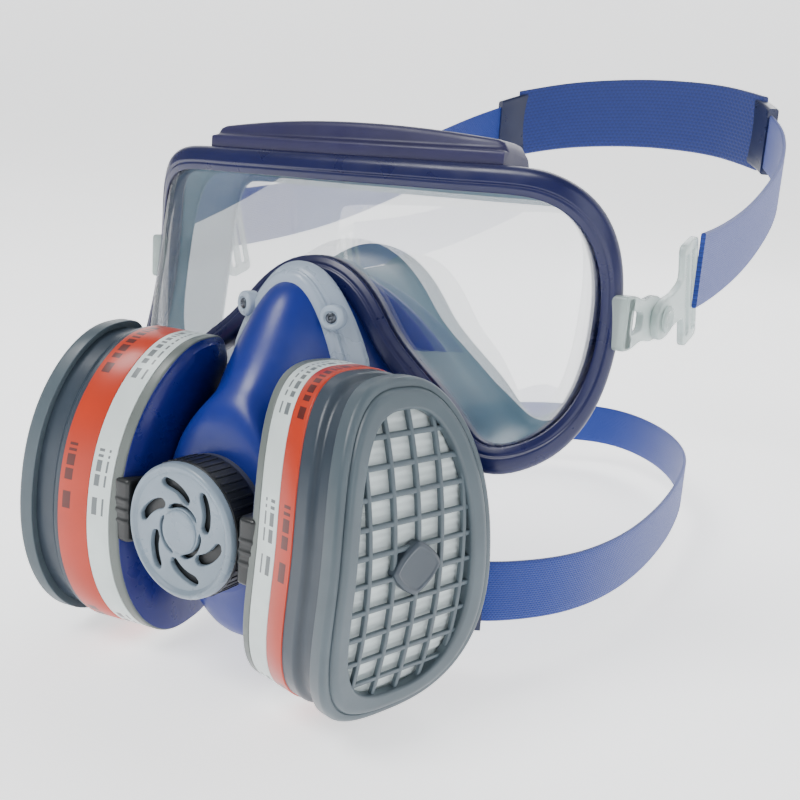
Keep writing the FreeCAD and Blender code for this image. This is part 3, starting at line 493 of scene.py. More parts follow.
WIDTH, HEIGHT, EGG, POWER, BOW = 58.6, 96.0, 0.15, 2.7, 116.7
WINDOW_INSET = 8.0      # where the bars of the grid end, in from the outline
SPIGOT_RADIUS = 10.3
FILTER_CENTRE = Vector((68.1, -91.9, -17.9))
FILTER_YAW, FILTER_TILT = math.radians(75.7), math.radians(2.2)


def filter_matrix(side):
    """Where a cartridge's own frame lies: x to the rear, y up, z outwards."""
    level = Vector((math.sin(FILTER_YAW), -math.cos(FILTER_YAW), 0))
    up = Vector((0, 0, math.cos(FILTER_TILT))) - level * math.sin(FILTER_TILT)
    out = level * math.cos(FILTER_TILT) + Vector((0, 0, math.sin(FILTER_TILT)))
    matrix = Matrix((up.cross(out), up, out)).transposed().to_4x4()
    matrix = Matrix.Translation(FILTER_CENTRE * MM) @ matrix
    return Matrix.Scale(-1, 4, (1, 0, 0)) @ matrix if side < 0 else matrix


def oval(inset=0.0, count=132):
    """The cartridge's egg-shaped outline, evenly stepped."""
    across, up = superellipse(np.linspace(0, 2 * math.pi, 721), POWER)
    x = across * (WIDTH / 2 - inset) * (1 - EGG * up)
    y = up * (HEIGHT / 2 - inset)
    return even(np.column_stack([x, y]), count, closed=True)


def bowed(y):
    """How far the cartridge's face falls back above and below its middle."""
    return np.sqrt(BOW ** 2 - np.asarray(y) ** 2) - BOW


def bowed_ring(profile, closed=True):
    """A piece swept round the cartridge's outline from (inset, height) profile points."""
    rows = []
    for inset, height in profile:
        line = oval(inset)
        rows.append(np.column_stack([line, height + bowed(line[:, 1])]))
    return skin(rows, ring=closed)


def band_uv(profile):
    """Metric coordinates for a swept band: round the outline and across it."""
    line = oval()
    run = np.linalg.norm(line[1] - line[0]) * np.arange(len(line))
    depths = [np.full(len(line), profile[0][1] - height) for _, height in profile]
    return np.concatenate([np.column_stack([run, depth]) for depth in depths])


def side_piece(name, word, side, shape, material, slot, node, uv=None, sharp=40):
    """One cartridge piece on one side, carried from its own frame into place."""
    thing = make_mesh(name + "_" + word, *shape, uv=uv)
    thing.data.transform(filter_matrix(side))
    if uv is None:
        outward(thing)
    elif side < 0:
        thing.data.flip_normals()
    nodes = [node + "_" + word] if node else []
    finish_piece(thing, "filter_" + word, material, nodes, sharp)


def both_sides(name, shape, material, slot, node, **options):
    """The same cartridge piece on the wearer's left and right."""
    for word, side in SIDES:
        side_piece(name, word, side, shape, material, slot, node, **options)


def bar(start, stop, top, width, depth, steps):
    """One rib of the grille with a rounded back, following the bow."""
    start, stop = np.array(start, float), np.array(stop, float)
    along = (stop - start) / np.linalg.norm(stop - start)
    side = np.array([-along[1], along[0]])
    section = rounded([(-width / 2, -depth), (width / 2, -depth), (width / 2, 0), (-width / 2, 0)], 0.5, 3)
    rows = []
    for t in np.linspace(0, 1, steps):
        here = start + (stop - start) * t
        spots = here + section[:, :1] * side
        rows.append(np.column_stack([spots, top + section[:, 1] + bowed(spots[:, 1])]))
    return skin(rows, caps=True)


def merged(shapes):
    """Several point-and-face sets as one."""
    points, faces, base = [], [], 0
    for some_points, some_faces in shapes:
        points.append(some_points)
        faces += [tuple(index + base for index in face) for face in some_faces]
        base += len(some_points)
    return np.concatenate(points), faces


def window_span(value, axis, inset):
    """Where a line across the window meets its edge, along x or y."""
    line = oval(inset, count=720)
    near = line[np.abs(line[:, 1 - axis] - value) < 0.45]
    return near[:, axis].min(), near[:, axis].max()


def grille_shape():
    """The stepped, rounded rim and the square grid of ribs set back in it."""
    outer_step = [(0.0, -5.4, 0.4), (0.0, -1.2, 0.7), (0.9, -0.35, 0.7), (2.3, -0.5, 0.3), (2.5, -1.0, 0.3)]
    inner_step = [(3.0, 0.2, 0.5), (4.2, 0.5, 0.8), (7.7, 0.0, 0.8), (8.3, -0.9, 0.6)]
    underside = [(8.5, -3.6, 0.4), (3.4, -3.6, 0.4), (3.0, -5.4, 0.4)]
    shapes = [bowed_ring(rounded(outer_step + inner_step + underside, 0.4, 5))]
    pitch, rise, width = 8.6, 7.5, 1.45
    upright_offset, upright_top, level_top = 1.4, -1.3, -1.42
    for k in range(-2, 3):
        x = upright_offset + k * pitch
        low, high = window_span(x, 1, WINDOW_INSET)
        shapes.append(bar((x, low), (x, high), upright_top, width, 1.7, 24))
    for k in range(-5, 5):
        y = (k + 0.5) * rise
        low, high = window_span(y, 0, WINDOW_INSET)
        shapes.append(bar((low, y), (high, y), level_top, width, 1.5, 4))
    return merged(shapes)


def boss_shape():
    """The plain raised badge on the grid: a rounded diamond with a shallow rim."""
    half_width, half_height, power, aside, drop = 8.6, 7.6, 1.35, 0.4, 2.2
    profile = [(0.0, -3.2), (0.0, -0.6), (1.3, -0.1), (1.9, -0.4), (8.4, -0.4)]
    profile = rounded(profile, 0.4, 3, closed=False)
    across, up = superellipse(np.linspace(0, 2 * math.pi, 49)[:-1], power)
    rows = []
    for inset, height in profile:
        x = across * max(half_width - inset, 0.05) + aside
        y = up * max(half_height - inset, 0.05) - drop
        rows.append(np.column_stack([x, y, height + bowed(y)]))
    return skin(rows, caps=True)


def pleats_shape():
    """Pleated filter media behind the grille."""
    across_steps, pleat_pitch, pleat_height, face_height, thickness = 12, 2.3, 0.22, -3.9, 7.0
    rows = []
    for y in np.arange(-41.5, 41.6, 0.55):
        low, high = window_span(y, 0, 6.4)
        x = np.linspace(low, high, across_steps)
        level = np.full(across_steps, y)
        fold = pleat_height * math.sin(2 * math.pi * y / pleat_pitch)
        rows.append(np.column_stack([x, level, face_height + fold + bowed(level)]))
    top = np.array(rows)
    bottom = top - np.array([0, 0, thickness])
    height, width = top.shape[:2]
    points = np.concatenate([top.reshape(-1, 3), bottom.reshape(-1, 3)])
    base = height * width
    faces = []
    for r in range(height - 1):
        for c in range(width - 1):
            a = r * width + c
            faces.append((a, a + 1, a + width + 1, a + width))
            faces.append((base + a + width, base + a + width + 1, base + a + 1, base + a))
    rim = list(range(width)) + [r * width + width - 1 for r in range(1, height)]
    rim += [(height - 1) * width + c for c in range(width - 2, -1, -1)]
    rim += [r * width for r in range(height - 2, 0, -1)]
    for k, a in enumerate(rim):
        b = rim[(k + 1) % len(rim)]
        faces.append((b, a, base + a, base + b))
    return points, faces


def casing_shape():
    """The barrel under the grille: a deep groove, a shoulder and the body that carries the labels."""
    outside = [(2.3, -5.3, 0.2), (2.3, -11.9, 0.8), (0.5, -13.0, 0.9), (0.5, -33.0, 0.5)]
    inside = [(2.6, -33.0, 0.3), (2.6, -14.5, 0.5), (4.1, -13.4, 0.5), (4.1, -5.3, 0.2)]
    return bowed_ring(rounded(outside + inside, 0.4, 4))


def shell_shape():
    """The blue back of the cartridge: a shoulder, fuller above than below, that runs to the spigot."""
    base = oval()
    angle = np.arctan2(base[:, 1], base[:, 0])
    circle_way = np.column_stack([np.cos(angle), np.sin(angle)])
    collar_radius = 12.4
    # inset, height, scale, share of the round spigot, lift of the middle
    stations = [(0.9, -33.2, 1.0, 0.0, 0.0), (0.6, -36.6, 1.0, 0.0, 0.0), (1.3, -37.4, 0.985, 0.0, 0.4),
                (1.8, -38.8, 0.945, 0.0, 2.0), (1.8, -40.6, 0.87, 0.05, 4.2), (1.8, -42.4, 0.75, 0.16, 6.6),
                (1.8, -44.2, 0.60, 0.36, 7.0), (1.8, -45.6, 0.47, 0.62, 4.6), (1.8, -46.3, 0.40, 0.86, 1.6),
                (1.8, -46.6, 0.37, 1.0, 0.0)]
    rows = []
    for inset, height, scale, share, lift in stations:
        spot = oval(inset) * scale * (1 - share) + circle_way * collar_radius * share + np.array([0, lift])
        rows.append(np.column_stack([spot, height + bowed(spot[:, 1]) * (1 - share)]))
    collar = [(11.6, -46.8), (10.45, -46.9)]
    spigot = [(SPIGOT_RADIUS, -47.4), (SPIGOT_RADIUS, -53.4), (9.9, -54.0), (9.0, -54.0), (8.6, -53.5)]
    bore = [(8.6, -44.0), (12.0, -43.4)]
    for radius, height in collar + spigot + bore:
        rows.append(np.column_stack([circle_way * radius, np.full(len(base), height)]))
    lining = [(2.0, -41.0, 0.6, 0.4), (2.6, -36.5, 0.92, 1.0), (2.9, -33.2, 1.0, 1.0)]
    for inset, height, scale, share in lining:
        line = oval(inset) * scale
        rows.append(np.column_stack([line, height + bowed(line[:, 1]) * share]))
    return skin(rows, ring=True)


def latch_shape():
    """The release tab: a rounded block with three grip ridges on its front."""
    low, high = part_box("filter_latch_left")
    low, high = np.array(low) / MM, np.array(high) / MM
    back = [(low[0], high[1]), (high[0], high[1])]
    front = [(high[0], low[1], 1.6), (low[0], low[1], 1.6)]
    section = rounded(back + front, 0.5, 4)
    ridge_height = 0.35
    rows = []
    middle = (low[2] + high[2]) / 2
    half = (high[2] - low[2]) / 2
    centre = section.mean(axis=0)
    for t in np.linspace(-1, 1, 41):
        shrink = 1 - 0.16 * max(0.0, (abs(t) - 0.9) / 0.1) ** 2
        ridge = ridge_height * max(0.0, math.cos(6 * math.pi * t)) if abs(t) < 0.6 else 0.0
        spots = centre + (section - centre) * shrink
        on_front = (spots[:, 1] < centre[1] - 2).astype(float)
        y = spots[:, 1] + ridge_height * on_front - ridge * on_front
        rows.append(np.column_stack([spots[:, 0], y, np.full(len(section), middle + half * t)]))
    return skin(rows, caps=True)


def make_filters():
    """Both cartridges; the orange band is the wider one on the wearer's right."""
    both_sides("grille", grille_shape(), "grille", "grille_grey", "grille")
    both_sides("badge", boss_shape(), "casing", "casing_grey", None)
    both_sides("pleated_media", pleats_shape(), "media", "filter_media", "particle_filter", sharp=80)
    both_sides("casing", casing_shape(), "casing", "casing_grey", "filter_casing")
    both_sides("shell", shell_shape(), "shell", "shell_blue", "filter_shell")
    outside = [(0.3, -33.1, 0.2), (0.1, -33.3, 0.3), (0.1, -36.0, 0.6), (0.9, -36.5, 0.3)]
    inside = [(1.6, -36.5, 0.1), (1.6, -33.1, 0.1)]
    both_sides("closing_ring", bowed_ring(rounded(outside + inside, 0.2, 4)), "ring", "casing_grey", None)
    label_end = -33.0
    for (word, side), start, change in zip(SIDES, (-18.0, -14.8), (-24.8, -25.2)):
        for name, top, bottom in (("orange", start, change), ("white", change - 0.05, label_end)):
            profile = [(0.62, top, 0.1), (0.14, top - 0.05, 0.2),
                       (0.14, bottom + 0.05, 0.2), (0.62, bottom, 0.1)]
            profile = rounded(profile, 0.15, 2, closed=False)
            label = name + "_label"
            shape = bowed_ring(profile, closed=False)
            side_piece(label, word, side, shape, name, label, label, uv=band_uv(profile))
    points, faces = latch_shape()
    for word, side in SIDES:
        thing = outward(make_mesh("latch_" + word, points * np.array([side, 1, 1]), faces))
        finish_piece(thing, "latch_" + word, "latch", ["filter_latch_" + word])


# ---- exhale valve cover

def turned(name, profile, matrix, count=96):
    """A turned piece from (radius, height) points."""
    rows = []
    for radius, height in profile:
        line = circle(max(radius, MIN_RADIUS), count)
        rows.append(np.column_stack([line, np.full(count, height)]))
    thing = make_mesh(name, *skin(rows, ring=True))
    thing.data.transform(matrix)
    return outward(thing)


def swirl_slot(start, twist, inner, outer, width):
    """The outline of one curved slot in the cover's face."""
    part = np.linspace(0, 1, 14)
    radius = inner + (outer - inner) * part
    angle = start + twist * part
    line = np.column_stack([np.cos(angle), np.sin(angle)]) * radius[:, None]
    ahead = np.gradient(line, axis=0)
    ahead /= np.linalg.norm(ahead, axis=1)[:, None]
    across = np.column_stack([-ahead[:, 1], ahead[:, 0]])
    half = width / 2 * np.sqrt(np.maximum(0.06, 1 - (2 * part - 1) ** 8))[:, None]
    return np.concatenate([line + across * half, (line - across * half)[::-1]])


def cover_place():
    """The cover's radius, its depth, and where its back lies."""
    low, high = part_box("exhale_valve_cover")
    centre = (low + high) / 2
    place = Matrix.Translation((centre.x, high.y, centre.z)) @ Matrix.Rotation(math.radians(90), 4, "X")
    return (high.x - low.x) / 2 / MM, (high.y - low.y) / MM, place


def make_valve_cover():
    """The pale front of the cover: a rolled edge, and a face with a button and a swirl of slots."""
    radius, depth, place = cover_place()
    # profile points as distance in from the side, distance down from the face, corner radius
    rim = [(3.4, 3.4, 0.4), (0.1, 3.4, 0.6), (0.3, 0.8, 1.2),
           (1.6, 0.1, 1.0), (2.7, 1.1, 0.7), (3.4, 1.4, 0.3)]
    rim = rounded([(radius - inset, depth - drop, corner) for inset, drop, corner in rim], 0.4, 5)
    button = [(0.0, 3.0, 0.3), (6.5, 3.0, 0.3), (6.5, 0.6, 0.9), (5.4, 0.35, 0.5), (0.0, 0.6, 0.2)]
    button = rounded([(spot, depth - drop, corner) for spot, drop, corner in button], 0.3, 4)
    slots = [swirl_slot(2 * math.pi * k / 6 + 0.2, 0.85, 9.2, 15.4, 3.2) for k in range(6)]
    slots += [swirl_slot(2 * math.pi * k / 3 + 0.6, 1.65, 7.4, 7.6, 1.3) for k in range(3)]
    face_place = place @ Matrix.Translation((0, 0, (depth - 2.2) * MM))
    face = plate("cover_face", [circle(radius - 2.8, 72)] + slots, 2.0, 0.4, face_place)
    parts = [turned("cover_rim", rim, place), turned("cover_button", button, place, 64), face]
    finish_piece(joined("valve_cover", parts), "root", "cover", ["exhale_valve_cover"])


def make_cover_side():
    """The dark side of the cover, with grip ribs all round."""
    radius, depth, place = cover_place()
    outside = [(radius - 1.8, 0.0), (radius, 0.0, 0.4), (radius, depth - 3.3, 0.4)]
    inside = [(0.0, depth - 3.3), (0.0, depth - 5.0), (radius - 1.8, depth - 5.0)]
    wall = rounded(outside + inside, 0.3, 3)
    shape = rounded([(-0.4, -0.3), (0.4, -0.3), (0.4, 0.28), (-0.4, 0.28)], 0.15, 2)
    ribs = []
    for out in circle(1.0, 48):
        side = np.array([-out[1], out[0]])
        spots = out * (radius - 0.05) + shape[:, :1] * side + shape[:, 1:] * out
        rows = [np.column_stack([spots, np.full(len(shape), height)]) for height in (1.2, depth - 4.2)]
        ribs.append(skin(rows, caps=True))
    ribbed = outward(make_mesh("cover_ribs", *merged(ribs)))
    ribbed.data.transform(place)
    whole = joined("valve_cover_side", [turned("cover_wall", wall, place), ribbed])
    finish_piece(whole, "root", "wall")


# ---- half mask

# sections across the mask: y, half width, lowest z, highest z, how much narrower the top is, roundness
MASK = [(-97.0, 19.4, -44.5, -0.6, 0.0, 2.0), (-95.5, 21.0, -47.5, 10.4, 0.02, 2.1),
        (-89.0, 20.8, -60.0, 19.5, 0.22, 2.2), (-79.0, 24.4, -64.8, 36.0, 0.36, 2.2),
        (-72.0, 26.2, -66.3, 45.0, 0.345, 2.2), (-69.0, 26.9, -66.6, 47.0, 0.31, 2.2),
        (-58.0, 32.5, -66.9, 48.2, 0.24, 2.1), (-45.0, 41.5, -66.0, 49.5, 0.18, 2.05),
        (-30.0, 46.0, -64.5, 50.8, 0.10, 2.0), (-22.0, 47.0, -63.5, 51.0, 0.06, 2.0)]
FACE_RADIUS, FACE_DEPTH = 62.0, -44.0
MASK_WALL, PORT_RADIUS = 2.4, 12.45


def mask_rows(shrink, count=112):
    """Smooth rows round the mask from front to rear, drawn in by a wall thickness."""
    angle = np.linspace(0, 2 * math.pi, count + 1)[:-1]
    rows = []
    for y, half, low, high, narrow, power in spline(MASK, 46):
        middle, tall = (low + high) / 2, (high - low) / 2 - shrink
        across, up = superellipse(angle, power)
        x = across * (half - shrink) * (1 - narrow * np.clip(up, -0.4, 1))
        z = middle + up * tall
        rear = FACE_DEPTH + FACE_RADIUS - np.sqrt(np.maximum(FACE_RADIUS ** 2 - x ** 2, 1.0))
        part = (y - MASK[0][0]) / (MASK[-1][0] - MASK[0][0])
        fitted = y + (rear - MASK[-1][0]) * np.clip((part - 0.45) / 0.55, 0, 1) ** 1.4
        rows.append(np.column_stack([x, fitted, z]))
    return rows


def valve_ring(y, count=112):
    """The round opening for the exhale valve, one row of the mask."""
    radius, height = 16.35, -22
    line = circle(radius, count)
    return np.column_stack([line[:, 0], np.full(count, y), height + line[:, 1]])


def make_mask():
    """The rubber mask: one shell, outside and inside, with a rolled edge on the face."""
    outer = mask_rows(0.0)
    inner = mask_rows(MASK_WALL)
    lip = []
    for t in (0.25, 0.6, 1.0):
        spread = outer[-1] + (inner[-1] - outer[-1]) * t
        lip.append(spread + np.array([0, 1.6 * math.sin(math.pi * t * 0.8) + 0.4, 0]))
    rows = [valve_ring(-97.0)] + outer + lip + list(reversed(inner[2:])) + [valve_ring(-94.4)]
    thing = outward(make_mesh("mask_body", *skin(rows, ring=True)))
    for _, side in SIDES:
        hole = [(0.0, -62), (PORT_RADIUS, -62), (PORT_RADIUS, -44), (0.0, -44)]
        cutter = turned("cutter", hole, filter_matrix(side), 64)
        cut = thing.modifiers.new("port", "BOOLEAN")
        cut.operation = "DIFFERENCE"
        cut.solver = "EXACT"
        cut.object = cutter
        bpy.context.view_layer.update()
        thing = baked(thing)
        bpy.data.objects.remove(cutter)
    thing.name = "mask"
    thing.data.shade_smooth()
    finish_piece(thing, "root", "mask", ["mask_body"], 50)


def make_saddle():
    """The clear saddle over the nose: a smooth arch on the mask with a seam groove along it."""
    fine = spline(MASK, 200)
    front = [(-68.5, -0.3), (-68.4, 2.6, 0.9), (-66.8, 3.4, 0.8), (-66.2, 2.9, 0.4)]
    rear = [(-65.4, 3.9, 0.8), (-62, 5.4, 1.6), (-59.6, 4.6, 1.0), (-59.6, -0.3)]
    section = rounded(front + rear, 0.4, 5)
    start, stop = math.radians(22), math.radians(158)
    rows = []
    for angle in np.linspace(start, stop, 70):
        row = []
        for y, lift in section:
            _, half, low, high, narrow, power = fine[np.argmin(np.abs(fine[:, 0] - y))]
            across, up = superellipse(angle, power)
            taper = min(1.0, 0.35 + 3.2 * min(angle - start, stop - angle))
            x = across * (half + lift * taper) * (1 - narrow * up)
            row.append((x, y, (low + high) / 2 + up * ((high - low) / 2 + lift * taper)))
        rows.append(row)
    closed_piece("saddle", rows, "root", "saddle", "saddle_clear", ["nose_saddle"], caps=True)


def make_rivets():
    """A small dark screw in a clear round lug at each foot of the saddle."""
    lug = [(0.0, -3.0), (4.0, -3.0), (4.0, 1.0, 0.8), (2.4, 1.5, 0.4), (1.9, 0.9, 0.2), (0.0, 0.9)]
    screw = [(0.0, 0.5), (1.7, 0.5), (1.7, 1.3, 0.4), (0.8, 1.6, 0.2), (0.5, 1.1, 0.1), (0.0, 1.1)]
    lugs, screws = [], []
    for _, side in SIDES:
        lean = Matrix.Rotation(math.radians(90), 4, "X") @ Matrix.Rotation(math.radians(18 * side), 4, "Y")
        place = Matrix.Translation((side * 17.0 * MM, -68.0 * MM, 38.5 * MM)) @ lean
        lugs.append(turned("lug", rounded(lug, 0.3, 4), place, 48))
        screws.append(turned("screw", rounded(screw, 0.2, 3), place, 40))
    finish_piece(joined("saddle_lugs", lugs), "root", "saddle")
    finish_piece(joined("saddle_screws", screws), "root", "metal", ["saddle_rivets"])


# ---- goggles

LENS_RADIUS, LENS_FRONT, LENS_FLAT, CORNER = 450.0, -55.9, 65.8, 33.0
HALF_LENGTH, SIDE_ANGLE, END_LENGTH, END_POWER = 101.8, math.radians(11.5), 39.9, 2.2
TOP, BOTTOM, LEAN = 86.4, -1.7, math.sin(math.radians(8.8))
MIDDLE = (TOP + BOTTOM) / 2 - 1.65
NOSE_ARCH = [(60, 0.5), (49.5, 9.5), (40.6, 16.8), (32.5, 23), (25, 29.8), (19, 36.8), (13.5, 42), (7, 45.6),
             (0, 46.8)]
LENS_INSET, LENS_THICKNESS = 5.4, 2.0


def wrap(length, height, proud=0.0, back=0.0):
    """A point of the flat lens pattern wrapped round the goggles' plan."""
    side = math.copysign(1, length)
    length = abs(length)
    bend = LENS_FLAT / LENS_RADIUS
    stop = math.pi / 2 - SIDE_ANGLE
    reach = LENS_FLAT + CORNER * (stop - bend)
    if length < LENS_FLAT:
        angle = length / LENS_RADIUS
        x, y = LENS_RADIUS * math.sin(angle), LENS_RADIUS * (1 - math.cos(angle))
    else:
        angle = bend + (min(length, reach) - LENS_FLAT) / CORNER
        x = LENS_RADIUS * math.sin(bend) + CORNER * (math.sin(angle) - math.sin(bend))
        y = LENS_RADIUS * (1 - math.cos(bend)) + CORNER * (math.cos(bend) - math.cos(angle))
    past = max(0.0, length - reach)
    x += past * math.cos(stop) + proud * math.sin(angle)
    y += past * math.sin(stop) - proud * math.cos(angle)
    return side * x, LENS_FRONT + y + LEAN * (height - MIDDLE) + back, height


def rim_line(count=220):
    """The goggles' outline in the flat: a wide rounded bar with an arch over the nose."""
    flat = HALF_LENGTH - END_LENGTH
    points = [(flat * k / 4, TOP) for k in range(1, 4)]
    for k in range(8, -8, -1):
        across, up = superellipse(math.pi / 2 * k / 8, END_POWER)
        tall = TOP - MIDDLE if k > 0 else MIDDLE - BOTTOM
        points.append((flat + END_LENGTH * across, MIDDLE + tall * up))
    points += NOSE_ARCH[:-1]
    left = [(-x, z) for x, z in reversed(points)]
    return spline([(0, TOP)] + points + [NOSE_ARCH[-1]] + left, count, closed=True)


def rim_directions(line):
    """For each point of the goggles' outline, the way in towards the middle."""
    along = np.roll(line, -1, axis=0) - np.roll(line, 1, axis=0)
    along /= np.linalg.norm(along, axis=1)[:, None]
    return np.column_stack([along[:, 1], -along[:, 0]])


def rim_sweep(profile):
    """Rows round the goggles from (inset, proud, back) profile points."""
    line = rim_line()
    inward = rim_directions(line)
    rows = []
    for corner in profile:
        inset, proud, back = (tuple(corner) + (0.0,))[:3]
        spots = line + inward * inset
        rows.append([wrap(x, z, proud, back) for x, z in spots])
    return rows


def make_lens():
    """The clear curved lens, two sides and an edge, filled from its outline to a middle line."""
    line = rim_line()
    edge = line + rim_directions(line) * LENS_INSET
    spine_end, spine_height, steps = 84, 66.0, 26
    spine = np.column_stack([np.clip(edge[:, 0], -spine_end, spine_end), np.full(len(edge), spine_height)])
    front = [edge + (spine - edge) * part for part in np.linspace(1.0, 0.0, steps)]
    rows = [[wrap(x, z) for x, z in spots] for spots in front]
    rows += [[wrap(x, z, -LENS_THICKNESS) for x, z in spots] for spots in reversed(front)]
    closed_piece("lens", rows, "root", "lens", "lens_clear", ["goggle_lens"])


def make_goggles():
    """The navy rim with its beads, the lens, and the soft skirt behind them."""
    outside = [(0.0, -5.6, 0.8), (0.0, 0.2, 1.6), (1.6, 1.7, 1.4), (5.0, 1.9, 0.8)]
    bead = [(5.6, 1.25, 0.3), (6.3, 1.3, 0.4), (8.0, 0.6, 0.7), (8.2, 0.1, 0.2)]
    inside = [(5.2, 0.1, 0.1), (5.2, -2.1, 0.1), (8.2, -2.1, 0.3), (8.0, -5.6, 0.8)]
    rows = rim_sweep(rounded(outside + bead + inside, 0.4, 4))
    closed_piece("goggle_rim", rows, "root", "rim", "rim_navy", ["goggle_frame"], ring=True)
    make_lens()
    outer = [(2.6, -5.7, 0), (2.4, -6.6, 3), (3.4, -7.2, 8), (4.6, -7.6, 12), (5.2, -9.0, 16),
             (6.2, -10.0, 20), (8.4, -10.6, 22.4), (11.0, -10.8, 23.4)]
    inner = [(11.2, -11.0, 22.2), (8.8, -11.4, 21.0), (7.4, -11.2, 18.6), (6.6, -10.2, 14.6),
             (6.0, -8.8, 11.4), (4.9, -8.2, 7.4), (4.0, -7.6, 2.8), (4.4, -5.7, 0)]
    rows = rim_sweep(outer + inner)
    closed_piece("goggle_skirt", rows, "root", "skirt", "skirt_clear", ["goggle_skirt"], ring=True)


def make_vent():
    """The stepped vent housing along the top of the goggles, lower and further back at its ends."""
    low, high = (np.array(corner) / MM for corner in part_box("vent_cover"))
    half = (high[0] - low[0]) / 2
    front, rear, foot = low[1], high[1], low[2]
    sweep, step_height = 4.2, 1.5
    rows = []
    for x in np.linspace(-half, half, 61):
        part = abs(x) / half
        end = math.sqrt(max(0.0, 1 - max(0.0, (part - 0.93) / 0.07) ** 2))
        rise = (high[2] - foot - step_height) * (1 - 0.42 * part ** 2) * (0.35 + 0.65 * end)
        crown = foot + step_height + rise
        ledge = [(front - 1.0, foot - 1.2), (front - 1.0, foot + 3.4, 1.2), (front + 1.4, foot + 4.0, 1.0)]
        top = [(front + 2.2, crown, 2.0), (rear - 1.5, crown - 0.8, 2.0), (rear, foot - 1.2, 0.6)]
        section = rounded(ledge + top, 0.5, 4)
        y = section[:, 0] + sweep * part ** 2
        rows.append(np.column_stack([np.full(len(section), x), y, np.minimum(section[:, 1], crown)]))
    thing = outward(make_mesh("vent_housing", *skin(rows, caps=True)))
    finish_piece(thing, "root", "vent", ["vent_cover", "vent_foam"], 50)


# ---- clips and straps

PIVOT_Y, PIVOT_Z, ARM_X, ARM_THICK = -8.5, 44.6, 93.2, 2.6
GAP, FRAME_THICK, FRAME_LEAN = 0.4, 2.4, 18.0


def side_matrix(side, x, angle=0.0):
    """A plate's plane through a clip's pivot: its x runs rearwards, its y up, its z outwards."""
    turn = Matrix(((0, 0, 1), (1, 0, 0), (0, 1, 0))).to_4x4()
    matrix = Matrix.Translation(Vector((x, PIVOT_Y, PIVOT_Z)) * MM)
    matrix = matrix @ Matrix.Rotation(math.radians(angle), 4, "X") @ turn
    return Matrix.Scale(-1, 4, (1, 0, 0)) @ matrix if side < 0 else matrix


def mirrored(half):
    """A closed outline from its lower half, run back with the heights turned over."""
    return half + [(x, -y, *corner) for x, y, *corner in reversed(half)]


def make_clips():
    """The clear arm, its ring-shaped pivot and the swinging strap frame on each side."""
    arm = [(-25.0, -8.0, 2.0), (-19.0, -8.0, 3.0), (-12.0, -6.0, 4.0), (0.0, -7.4, 6.0), (7.4, -3.0, 5.0)]
    arm = rounded(mirrored(arm), 2.0, 6)
    slot = rounded(mirrored([(-21.5, -3.6), (-11.5, -2.6)]), 1.6, 5)
    root = rounded(mirrored([(-25.5, -8), (-19.5, -8)]), 1.5, 4)
    neck = [(-6.6, -4.5, 4.5), (0.0, -6.6, 6.0), (8.0, -5.2, 3.0), (16.8, -6.4, 3.0)]
    crossbar = [(17.0, -17.2, 2.6), (29.0, -17.2, 2.6)]
    strap_frame = rounded(mirrored(neck + crossbar), 2.0, 5)
    slots = [rounded(mirrored([(x, -13.6), (x + 3.2, -13.6)]), 1.0, 4) for x in (18.6, 24.2)]
    foot = [(0.0, -1.0), (3.6, -1.0, 0.6), (3.6, 0.0, 0.1), (2.5, 0.0, 0.1), (2.5, 5.8, 0.1)]
    head = [(4.2, 5.8, 0.1), (4.2, 6.6, 0.5), (3.0, 7.0, 0.4), (1.6, 6.4, 0.3), (0.0, 6.4, 0.1)]
    pin = rounded(foot + head, 0.2, 4)
    for word, side in SIDES:
        arm_place = side_matrix(side, ARM_X + ARM_THICK / 2)
        root_place = side_matrix(side, ARM_X - 0.9)
        frame_place = side_matrix(side, ARM_X + ARM_THICK + GAP + FRAME_THICK / 2, FRAME_LEAN)
        parts = [plate("arm_" + word, [arm, slot, circle(2.55)], ARM_THICK, 0.5, arm_place),
                 plate("root_" + word, [root], 7.0, 0.8, root_place)]
        clip = joined("clip_arm_" + word, parts)
        finish_piece(clip, "root", "clip", ["clip_arm_" + word])
        outlines = [strap_frame] + slots + [circle(2.6)]
        clip = plate("strap_frame_" + word, outlines, FRAME_THICK, 0.5, frame_place)
        finish_piece(clip, "head_harness", "clip", ["strap_buckle_" + word])
        clip = turned("pivot_" + word, pin, side_matrix(side, ARM_X), 48)
        finish_piece(clip, "root", "clip", ["pivot_pin_" + word])


def head_rise(y):
    """How high the head strap runs, climbing towards the crown."""
    return 58.5 + 0.08 * (y - 15) + 0.00115 * (y - 15) ** 2


def strap_section(width, thickness, edge, crown):
    """Across a strap: thickness and height, with rounded edges and a crowned middle on both sides."""
    wide, thick = width / 2, thickness / 2
    section = rounded([(-thick, -wide), (thick, -wide), (thick, wide), (-thick, wide)], edge, 3)
    heights = np.linspace(-wide + edge, wide - edge, 9)[1:-1]
    swell = thick + crown * (1 - (heights / wide) ** 2)
    right = np.column_stack([swell, heights])
    left = np.column_stack([-swell, heights])[::-1]
    middle = len(section) // 2
    return np.concatenate([section[:middle], right, section[middle:], left])


